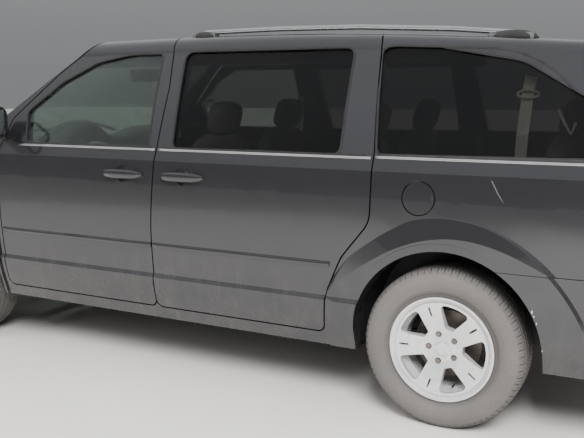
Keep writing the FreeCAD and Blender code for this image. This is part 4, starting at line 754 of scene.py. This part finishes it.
def cushion(name, size, foot, lean, power=4.5, seams=()):
    """A padded block standing on foot and tipped about it by lean, in degrees.

    Each seam is a pinched line, as (axis, place from -1 to 1, depth).
    """
    hx, hy, hz = (v / 2 for v in size)
    index, verts, faces = {}, [], []

    def vertex(p):
        spot = tuple(round(c, 6) for c in p)
        if spot not in index:
            norm = sum(abs(c) ** power for c in p) ** (1 / power)
            q = [c / norm for c in p]
            pinch = 1.0
            for axis, at, deep in seams:
                pinch -= deep * math.exp(-(((q[axis] - at) / SEAM_WIDTH) ** 2))
            crown = 1 + 0.03 * (1 - q[1] ** 2)
            index[spot] = len(verts)
            verts.append((q[0] * hx * pinch * crown, q[1] * hy, q[2] * hz * pinch * crown))
        return index[spot]

    def grid(step):
        return math.tan(math.pi / 4 * (-1 + 2 * step / CUSHION_GRID))

    cells = [(i, j) for i in range(CUSHION_GRID) for j in range(CUSHION_GRID)]
    for axis in range(3):
        second, third = (axis + 1) % 3, (axis + 2) % 3
        for sign in (-1, 1):
            for i, j in cells:
                ring = []
                for di, dj in ((0, 0), (1, 0), (1, 1), (0, 1)):
                    p = [0, 0, 0]
                    p[axis], p[second], p[third] = sign, grid(i + di), grid(j + dj)
                    ring.append(vertex(p))
                faces.append(tuple(ring if sign > 0 else ring[::-1]))
    tip = Matrix.Rotation(math.radians(lean), 3, "Y")
    place = [Vector(foot) + tip @ Vector((x, y, z + hz)) for x, y, z in verts]
    obj = piece(name, place, faces, "seat", "body")
    return obj


def rod(name, a, b, radius, key, body, around=12):
    """A round bar between two points."""
    a, b = Vector(a), Vector(b)
    t = (b - a).normalized()
    u = t.orthogonal().normalized()
    w = t.cross(u)
    verts = [p + u * (radius * c) + w * (radius * h) for p in (a, b) for c, h in circle(around)]
    piece(name, verts, ring_faces(2, around, True), key, body)


def headrest_posts(name, low, high, y, apart):
    """Two posts between a seat's back and its headrest."""
    for dy in (-apart, apart):
        a, b = (low.x, y + dy, low.z), (high.x, y + dy, high.z)
        rod("headrest_post_%s_%d" % (name, dy > 0), a, b, 0.006, "rail", "body")


def seat(name, x, y):
    """One seat: cushion, back and headrest on its posts, over a plain base."""
    floor = CABIN_FLOOR
    seams = [(1, -0.62, 0.05), (1, 0.62, 0.05), (0, 0.1, 0.03)]
    size, foot = (0.53, SEAT_WIDTH, 0.13), (x + 0.005, y, floor + 0.220)
    base = cushion("cushion_" + name, size, foot, 0, seams=seams)
    root = Vector((x - 0.265, y, floor + 0.300))
    tip = Matrix.Rotation(math.radians(SEAT_LEAN), 3, "Y")

    def up(dx, dz):
        return root + tip @ Vector((dx, 0, dz))

    seams = [(1, -0.60, 0.05), (1, 0.60, 0.05), (2, 0.35, 0.03)]
    size = (0.13, SEAT_WIDTH - 0.02, 0.61)
    cushion("back_" + name, size, up(0.0, -0.01), SEAT_LEAN, seams=seams)
    size, foot = (0.10, 0.26, 0.18), up(0.005, 0.605)
    cushion("headrest_" + name, size, foot, SEAT_LEAN, power=3.5, seams=[(1, 0.0, 0.02)])
    headrest_posts(name, up(0.0, 0.55), up(0.005, 0.63), y, 0.055)
    low, high = (x - 0.22, y - 0.19, floor + 0.002), (x + 0.22, y + 0.19, floor + 0.235)
    block("base_" + name, low, high, "trim", "body", 0.02)
    return base


def rear_bench():
    """The rear bench with three headrests."""
    x, floor = BENCH_X, BENCH_FLOOR
    seams = [(1, at, 0.03) for at in (-0.66, -0.33, 0.0, 0.33, 0.66)]
    size, foot = (0.50, 1.18, 0.13), (x + 0.01, 0, floor + 0.190)
    base = cushion("cushion_rear_bench", size, foot, 0, seams=seams, power=6)
    root = Vector((x - 0.25, 0, floor + 0.27))
    tip = Matrix.Rotation(math.radians(BENCH_LEAN), 3, "Y")
    cushion("back_rear_bench", (0.12, 1.17, 0.49), root, BENCH_LEAN, seams=seams, power=6)
    for k, y in enumerate((-0.39, 0.0, 0.39)):
        size, foot = (0.09, 0.24, 0.15), root + tip @ Vector((0.0, y, 0.50))
        cushion("headrest_rear_%d" % k, size, foot, BENCH_LEAN, power=3.5)
        a, b = root + tip @ Vector((0, 0, 0.44)), root + tip @ Vector((0, 0, 0.53))
        headrest_posts("rear_%d" % k, a, b, y, 0.05)
    low, high = (x - 0.20, -0.50, floor + 0.002), (x + 0.20, 0.50, floor + 0.205)
    block("base_rear_bench", low, high, "trim", "body", 0.02)
    return base


def seats():
    """Four single seats and the rear bench, in place of the plain CAD ones."""
    base = [seat(*row) for row in SINGLE_SEATS][0]
    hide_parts("captain_seats")
    bench = rear_bench()
    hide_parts("rear_bench")


seats()


# Belts, mirror and controls seen through the glass


def web(name, points, width, side):
    """A flat strap through points, its broad face turned to one side."""
    pts = [Vector(p) for p in points]
    out, thick = Vector((0, side, 0)), 0.0016
    verts = []
    for i, p in enumerate(pts):
        t = (pts[min(i + 1, len(pts) - 1)] - pts[max(i - 1, 0)]).normalized()
        across = t.cross(out).normalized()
        n = across.cross(t).normalized()
        for a, b in ((-1, -1), (1, -1), (1, 1), (-1, 1)):
            verts.append(p + across * (width / 2 * a) + n * (thick / 2 * b))
    piece(name, verts, ring_faces(len(pts), 4, True), "belt", "body", smooth=False)


def belts(tag, s):
    """One side's rear belt with its ring, the cargo strap and the front belt."""
    y = s * 0.68
    belt = [
        (-1.757, y, 1.530), (-1.745, y, 1.455), (-1.728, y, 1.275),
        (-1.715, y - s * 0.02, 1.10), (-1.71, y - s * 0.04, 0.90),
    ]
    web("rear_belt_" + tag, belt, 0.050, s)
    ring_x, ring_z = -1.748, 1.455
    ring = [(ring_x + 0.046 * c, y + s * 0.006, ring_z + 0.016 * h) for c, h in circle(16)]
    for k, (a, b) in enumerate(zip(ring, ring[1:] + ring[:1])):
        rod("rear_belt_ring_%s_%d" % (tag, k), a, b, 0.006, "belt", "body", 8)
    strap = [(-1.872, y, 1.393), (-1.900, y, 1.335), (-1.926, y, 1.290), (-1.945, y, 1.340)]
    web("cargo_strap_" + tag, strap, 0.012, s)
    y = s * 0.70
    web("front_belt_" + tag, [(0.060, y, 1.42), (0.075, y, 1.1), (0.09, y, 0.75)], 0.046, s)


def cabin():
    """Belts, the interior mirror and the dashboard's controls."""
    for tag, s in SIDES:
        belts(tag, s)
    low, high = (0.815, -0.140, 1.527), (0.838, 0.140, 1.608)
    block("interior_mirror", low, high, "black", "body", 0.010)
    top = cast(tree("windshield"), (0.83, 0.0, 1.2), UP)[0]
    foot, head = (0.832, 0.0, 1.58), (0.850, 0.0, top.z - 0.022)
    rod("interior_mirror_stem", foot, head, 0.008, "black", "body")
    low, high = (0.970, -0.11, 0.93), (0.992, 0.11, 1.035)
    block("centre_screen", low, high, "black_gloss", "body", 0.004)
    low, high = (0.971, 0.235, 1.045), (0.978, 0.505, 1.098)
    block("binnacle_face", low, high, "black_gloss", "body", 0.002)
    for k, y in enumerate((-0.62, -0.30, 0.16, 0.62)):
        low, high = (0.978, y - 0.055, 0.955), (1.010, y + 0.055, 1.005)
        block("air_vent_%d" % k, low, high, "black", "body", 0.006)


cabin()


# Tail, nose and mirrors


def laid(name, starts, direction, profile, key, body, bvh, closed=False):
    """A trim strip dropped onto a surface from a row of points."""
    trim(name, [cast(bvh, p, direction) for p in starts], profile, key, body, closed)


def bar_section(foot, half_foot, top, half_top):
    """A four-cornered section between two heights over the surface."""
    return [(foot, -half_foot), (top, -half_top), (top, half_top), (foot, half_foot)]


def tail():
    """The liftgate's seal, lamp bar, grab bar, stop lamp and wiper."""
    gate, pane = tree("liftgate"), tree("liftgate_glass")

    def lay(name, row, profile, key, bvh, **options):
        starts = [(BEHIND_X, y, z) for y, z in row]
        laid(name, starts, FORWARD, profile, key, "liftgate", bvh, **options)

    seal = section(0.0025, 0.012, 0.002)
    lay("gate_window_seal", rounded(GATE_WINDOW, 0.006), seal, "rubber", gate, closed=True)
    low, high = (-2.478, -0.22, 0.942), (-2.452, 0.22, 0.968)
    block("plate_lamp_bar", low, high, "black_gloss", "liftgate", 0.006)
    bar = [(-0.40 + 0.8 * k / 12, 0.962) for k in range(13)]
    lay("gate_grab_bar", bar, section(0.006, 0.030), "chrome", gate)
    lamp = [(-0.16 + 0.32 * k / 8, 1.640) for k in range(9)]
    lay("high_stop_lamp", lamp, section(0.004, 0.020), "lamp_red", gate)
    arm = [(0.02 + 0.02 * k, 1.215 + 0.004 * k) for k in range(14)]
    lay("rear_wiper_arm", arm, bar_section(0.004, 0.006, 0.012, 0.005), "black", pane)
    blade = [(0.06 + 0.02 * k, 1.222 + 0.003 * k) for k in range(20)]
    lay("rear_wiper_blade", blade, bar_section(0.0006, 0.002, 0.006, 0.003), "rubber", pane)


def nose():
    """The two front wipers, parked on the windscreen."""
    screen, count = tree("windshield"), 20
    steps = [i / count for i in range(count + 1)]
    for k, (y0, y1) in enumerate(((0.10, 0.62), (-0.50, 0.05))):
        row = [(1.50 - 0.10 * t, y0 + (y1 - y0) * t, 1.9) for t in steps]
        blade = bar_section(0.0006, 0.003, 0.008, 0.004)
        laid("wiper_blade_%d" % k, row, DOWN, blade, "rubber", "body", screen)
        arm = [(x + 0.02 * (1 - t), y, z) for t, (x, y, z) in zip(steps, row)]
        profile = bar_section(0.008, 0.005, 0.016, 0.004)
        laid("wiper_arm_%d" % k, arm[: count // 2 + 2], DOWN, profile, "black", "body", screen)


def bowl(name, centre, radius, depth):
    """A round reflector open to the front."""
    around, rings = 28, 6
    verts = []
    for i in range(rings + 1):
        t = i / rings
        r = radius * math.sqrt(1 - t) + 0.0005
        x = centre[0] - depth * t
        verts += [(x, centre[1] + r * c, centre[2] + r * h) for c, h in circle(around)]
    piece(name, verts, ring_faces(rings + 1, around), "chrome", "body")


# The headlamps' reflectors, as (distance from the middle, height, radius)
REFLECTORS = ((0.585, 0.765, 0.072), (0.735, 0.770, 0.060))


def lamp_insides():
    """Two reflectors with bulb caps and three amber markers in each headlamp."""
    lens = tree("headlamps")
    for tag, s in SIDES:
        for k, (y, z, radius) in enumerate(REFLECTORS):
            hits = [cast(lens, (AHEAD_X, s * across, z), BACKWARD) for across in (y, y + radius)]
            x = min(hit[0].x for hit in hits) - 0.010
            bowl("lamp_bowl_%s_%d" % (tag, k), (x, s * y, z), radius, 0.045)
            a, b = (x - 0.040, s * y, z), (x - 0.012, s * y, z)
            rod("lamp_bulb_%s_%d" % (tag, k), a, b, 0.014, "black_gloss", "body")
        for k in range(3):
            y, z = 0.835 + 0.018 * k, 0.750 + 0.03 * k
            x = cast(lens, (AHEAD_X, s * y, z), BACKWARD)[0].x - 0.012
            low, high = (x - 0.02, s * (y - 0.008), z - 0.022), (x, s * (y + 0.008), z + 0.022)
            block("lamp_marker_%s_%d" % (tag, k), low, high, "amber", "body", 0.003)


# The intake's backing and slats: lower edge, upper edge, distance behind the bumper's skin
INTAKE = (
    (0.305, 0.445, 0.050), (0.336, 0.348, 0.026), (0.368, 0.380, 0.026), (0.400, 0.412, 0.026),
)


def intake():
    """A dark backing and three slats in the bumper's lower opening."""
    bumper, count, thick = tree("front_bumper"), 25, 0.006
    spots = [-0.53 + 1.06 * k / (count - 1) for k in range(count)]
    rows = [(cast(bumper, (AHEAD_X, y, 0.450), BACKWARD)[0].x, y) for y in spots]
    for i, (z0, z1, back) in enumerate(INTAKE):
        verts = []
        for x, y in rows:
            near, far = x - back, x - back - thick
            verts += [(near, y, z0), (near, y, z1), (far, y, z1), (far, y, z0)]
        piece("intake_%d" % i, verts, ring_faces(count, 4, True), "black", "body", smooth=False)


def screen_border():
    """The black print round the windscreen's edge."""
    ring = [(x, y, 2.4) for x, y in rounded(SCREEN_EDGE, -0.020)]
    band, screen = bar_section(0.0002, 0.018, 0.0009, 0.018), tree("windshield")
    laid("windscreen_print", ring, DOWN, band, "black_gloss", "body", screen, closed=True)


# The dash pad's section from its rear edge over the top and back, as (forward, up)
PAD_SECTION = (
    (0.990, 1.100), (0.985, 1.150), (1.000, 1.175), (1.060, 1.190), (1.140, 1.185),
    (1.240, 1.150), (1.300, 1.075), (1.300, 1.030), (1.000, 1.030),
)
PAD_FOOT = 1.03
PAD_HALF = 0.70


def dash_pad():
    """The raised pad and instrument hood over the dashboard, under the windscreen."""
    screen, count = tree("windshield"), 29
    verts = []
    for k in range(count):
        y = -PAD_HALF + 2 * PAD_HALF * k / (count - 1)
        hood = 0.105 * math.exp(-(((y - 0.37) / 0.17) ** 4))
        hood += 0.045 * math.exp(-(((y + 0.36) / 0.26) ** 4))
        end = 1 - 0.25 * (abs(y) / PAD_HALF) ** 6
        for x, z in PAD_SECTION:
            tall = PAD_FOOT + (z - PAD_FOOT) * end * (1 + hood / 0.16)
            over = cast(screen, (x, y, 1.0), UP)
            if over:
                tall = min(tall, over[0].z - 0.03)
            verts.append((x, y, tall))
    piece("dash_pad", verts, ring_faces(count, len(PAD_SECTION), True), "black", "body")


def mirrors():
    """The mirror faces in the door mirrors' shells."""
    near, far, low, high = 0.974, 1.111, 1.244, 1.376
    for tag, s in SIDES:
        rim = [(s * near, low), (s * far, low), (s * far, high), (s * near, high)]
        verts = [(x, y, z) for x in (1.0455, 1.0445) for y, z in rim]
        faces = [(4, 5, 6, 7), (0, 3, 2, 1)] + ring_faces(2, 4)
        piece("mirror_glass_" + tag, verts, faces, "mirror", "front_door_" + tag, smooth=False)


# The rails' end fairings: rear end, front end, distance from the middle, foot, crest
FAIRINGS = ((-0.175, 0.005, 0.628, 1.738, 1.776), (-1.775, -1.535, 0.616, 1.684, 1.727))


def rail_feet():
    """Low domed fairings over the rails' ends."""
    count, around, sink = 14, 9, 0.004
    faces = ring_faces(count + 1, around, True)
    for tag, s in SIDES:
        for k, (x0, x1, y, z0, z1) in enumerate(FAIRINGS):
            verts = []
            for i in range(count + 1):
                t = -1 + 2 * i / count
                x = (x0 + x1) / 2 + (x1 - x0) / 2 * t
                crest = z0 + (z1 - z0) * max(0.0, 1 - abs(t) ** 2.6) ** 0.6
                half = 0.021 * max(0.05, 1 - abs(t) ** 4)
                for q in range(around):
                    a = math.pi * q / (around - 1)
                    c, h = math.cos(a), math.sin(a)
                    spread = math.copysign(abs(c) ** 0.6, c)
                    z = z0 - sink + (crest - z0 + sink) * h ** 0.6
                    verts.append((x, s * (y + half * spread), z))
            piece("rail_foot_%s_%d" % (tag, k), verts, faces, "black", "body")


def door_card(tag, side):
    """The trim panel with its armrest, pull, pocket and speaker inside a front door."""
    door, bvh = "front_door_" + tag, TREES["front_door_" + tag]
    middle, half = (0.545, 0.790), (0.400, 0.330)
    cols, rows, corner = 24, 18, 8
    front, back = [], []

    def inner(x, z):
        return cast(bvh, (x, side * 0.3, z), (0, side, 0))[0].y

    for i in range(cols + 1):
        for j in range(rows + 1):
            u, v = -1 + 2 * i / cols, -1 + 2 * j / rows
            shrink = max(1.0, (abs(u) ** corner + abs(v) ** corner) ** (1 / corner))
            x, z = middle[0] + half[0] * u / shrink, middle[1] + half[1] * v / shrink
            proud = 0.0015 if i in (0, cols) or j in (0, rows) else 0.009
            front.append((x, inner(x, z) - side * proud, z))
            back.append((x, inner(x, z) - side * 0.0004, z))
    faces, tall, total = [], rows + 1, len(front)
    for i in range(cols):
        for j in range(rows):
            a, b = i * tall + j, (i + 1) * tall + j
            faces += [(a, b, b + 1, a + 1), (total + a, total + a + 1, total + b + 1, total + b)]
    rim = [i * tall for i in range(cols)] + [cols * tall + j for j in range(rows)]
    rim += [i * tall + rows for i in range(cols, 0, -1)] + list(range(rows, 0, -1))
    for a, b in zip(rim, rim[1:] + rim[:1]):
        faces.append((a, b, total + b, total + a))
    piece("door_card_" + tag, front + back, faces, "trim", door)
    for name, key, x0, x1, z0, z1, proud in (
        ("armrest", "black", 0.330, 0.700, 0.845, 0.885, 0.062),
        ("pull", "chrome", 0.735, 0.815, 0.985, 1.008, 0.026),
        ("pocket", "black", 0.230, 0.640, 0.500, 0.590, 0.042),
    ):
        y = inner((x0 + x1) / 2, z0)
        low, high = (x0, y - side * 0.006, z0), (x1, y - side * proud, z1)
        block("door_%s_%s" % (name, tag), low, high, key, door, 0.009 if proud > 0.03 else 0.004)
    x, z = 0.790, 0.585
    y = inner(x, z)
    a, b = (x, y - side * 0.006, z), (x, y - side * 0.014, z)
    rod("door_speaker_" + tag, a, b, 0.075, "black", door, 28)


def filler_notch_shade():
    """Painted shade for the finger notch at the filler door's rear edge: a flat dark half oval laid
    on the door.
    """
    count, x, z = 16, REAR_AXLE + 0.043, 1.024
    y = on_side(tree("fuel_door"), x - 0.004, z, 1)[0].y + 0.0006
    turns = [math.pi * (0.5 + k / (count - 1)) for k in range(count)]
    verts = [(x + 0.011 * math.cos(a), y, z + 0.017 * math.sin(a)) for a in turns]
    piece("filler_notch_shade", verts, [tuple(range(count))], "rubber", "fuel_door", smooth=False)


# Marks of use on the left side, as (x, z) points and as (x, z, size)
SCRATCH = [(-1.673, 1.114), (-1.700, 1.064), (-1.724, 1.028)]
CHIPS = (
    (-1.856, 0.592, 0.0065), (-1.864, 0.574, 0.0045),
    (-1.875, 0.545, 0.0050), (-1.899, 0.430, 0.0035),
)


def marks():
    """The scratch on the quarter panel and the chips at the bumper's arch edge."""
    ridge = [(-0.0004, -0.0007), (0.0003, 0.0), (-0.0004, 0.0007)]
    strip("scratch_quarter", SCRATCH, ridge, "scuff", "body", TREES["body_side_left"], 1)
    bumper, corners = tree("rear_bumper"), 7
    for k, (x, z, size) in enumerate(CHIPS):
        middle = on_side(bumper, x, z, 1)
        verts = []
        for c, h in circle(corners):
            r = size * (0.7 + 0.3 * math.cos(3 * math.atan2(h, c) + k))
            spot = on_side(bumper, x + r * c * 0.6, z + r * h * 1.5, 1) or middle
            verts.append(spot[0] + spot[1] * 0.0005)
        piece("chip_bumper_%d" % k, verts, [tuple(range(corners))], "scuff", "body")


tail()
nose()
lamp_insides()
intake()
screen_border()
dash_pad()
marks()
mirrors()
rail_feet()
filler_notch_shade()
for tag, side in SIDES:
    door_card(tag, side)


# Floor, light and camera


FLOOR_HALF = 40.0
# The area lights, as (name, place, side in metres, watts)
LIGHTS = (
    ("key", (-4.5, 6.0, 6.0), 3.5, 1450.0),
    ("fill", (4.5, 5.5, 4.0), 5.0, 200.0),
    ("top", (0.0, 0.0, 7.0), 7.0, 240.0),
    ("rim", (-5.0, -4.0, 5.0), 4.0, 220.0),
)
AIM = Vector((0, 0, 0.6))


def studio_floor():
    """A plain pale floor."""
    m = Mat("pale_floor")
    patch = m.ramp(m.noise(1.3, 6.0), 0.3, 0.7)
    m.set("Base Color", m.mix(patch, (0.66, 0.64, 0.61), (0.72, 0.70, 0.67)))
    m.set("Roughness", 0.85)
    corners = ((-1, -1), (1, -1), (1, 1), (-1, 1))
    verts = [(FLOOR_HALF * x, FLOOR_HALF * y, -0.0005) for x, y in corners]
    mesh = bpy.data.meshes.new("floor")
    mesh.from_pydata(verts, [], [(0, 1, 2, 3)])
    mesh.materials.append(m.material)
    return placed("floor", mesh)


def studio_lights():
    """Soft area lights, aimed at the vehicle and left out of its reflections."""
    lamps = []
    for name, place, side, watts in LIGHTS:
        data = bpy.data.lights.new(name, "AREA")
        data.size = side
        data.energy = watts
        lamp = placed(name, data)
        lamp.location = place
        lamp.rotation_euler = (AIM - Vector(place)).to_track_quat("-Z", "Y").to_euler()
        lamp.visible_glossy = False
        lamps.append(lamp)
    return lamps


def studio_world():
    """A cool surround that grows brighter upward."""
    world = bpy.data.worlds.new("studio")
    bpy.context.scene.world = world
    world.use_nodes = True
    nodes, links = world.node_tree.nodes, world.node_tree.links
    place = nodes.new("ShaderNodeTexCoord")
    split = nodes.new("ShaderNodeSeparateXYZ")
    ramp = nodes.new("ShaderNodeMapRange")
    ramp.interpolation_type = "SMOOTHSTEP"
    for i, v in enumerate((-0.02, 0.70, 0.24, 0.95)):
        ramp.inputs[i + 1].default_value = v
    links.new(place.outputs["Generated"], split.inputs[0])
    links.new(split.outputs[2], ramp.inputs[0])
    links.new(ramp.outputs[0], nodes["Background"].inputs[1])
    nodes["Background"].inputs[0].default_value = (0.93, 0.94, 0.96, 1.0)


# The photograph's camera, solved from its outlines
CAMERA_PLACE = Vector((REAR_AXLE - 1.026, 4.151, 1.506))
CAMERA_YAW, CAMERA_PITCH, CAMERA_ROLL = 28.47, 9.59, -0.48
FOCAL_PIXELS = 800.0
PHOTO_WIDTH = 584.0
SENSOR = 36.0


def camera():
    """The photograph's view: from the rear left at eye height, turned inward and a little down."""
    yaw, pitch, roll = (math.radians(a) for a in (CAMERA_YAW, CAMERA_PITCH, CAMERA_ROLL))
    turn = Matrix.Rotation(yaw, 3, "Z")
    ahead, right, up = turn @ Vector((0, -1, 0)), turn @ Vector((-1, 0, 0)), Vector((0, 0, 1))
    aim = math.cos(pitch) * ahead - math.sin(pitch) * up
    rise = math.cos(pitch) * up + math.sin(pitch) * ahead
    x_axis = math.cos(roll) * right + math.sin(roll) * rise
    y_axis = math.cos(roll) * rise - math.sin(roll) * right
    data = bpy.data.cameras.new("photo")
    data.sensor_width = SENSOR
    data.lens = SENSOR * FOCAL_PIXELS / PHOTO_WIDTH
    cam = placed("photo", data)
    turned = Matrix((x_axis, y_axis, -aim)).transposed().to_4x4()
    cam.matrix_world = Matrix.Translation(CAMERA_PLACE) @ turned
    bpy.context.scene.camera = cam


floor, lights = studio_floor(), studio_lights()
studio_world()
camera()
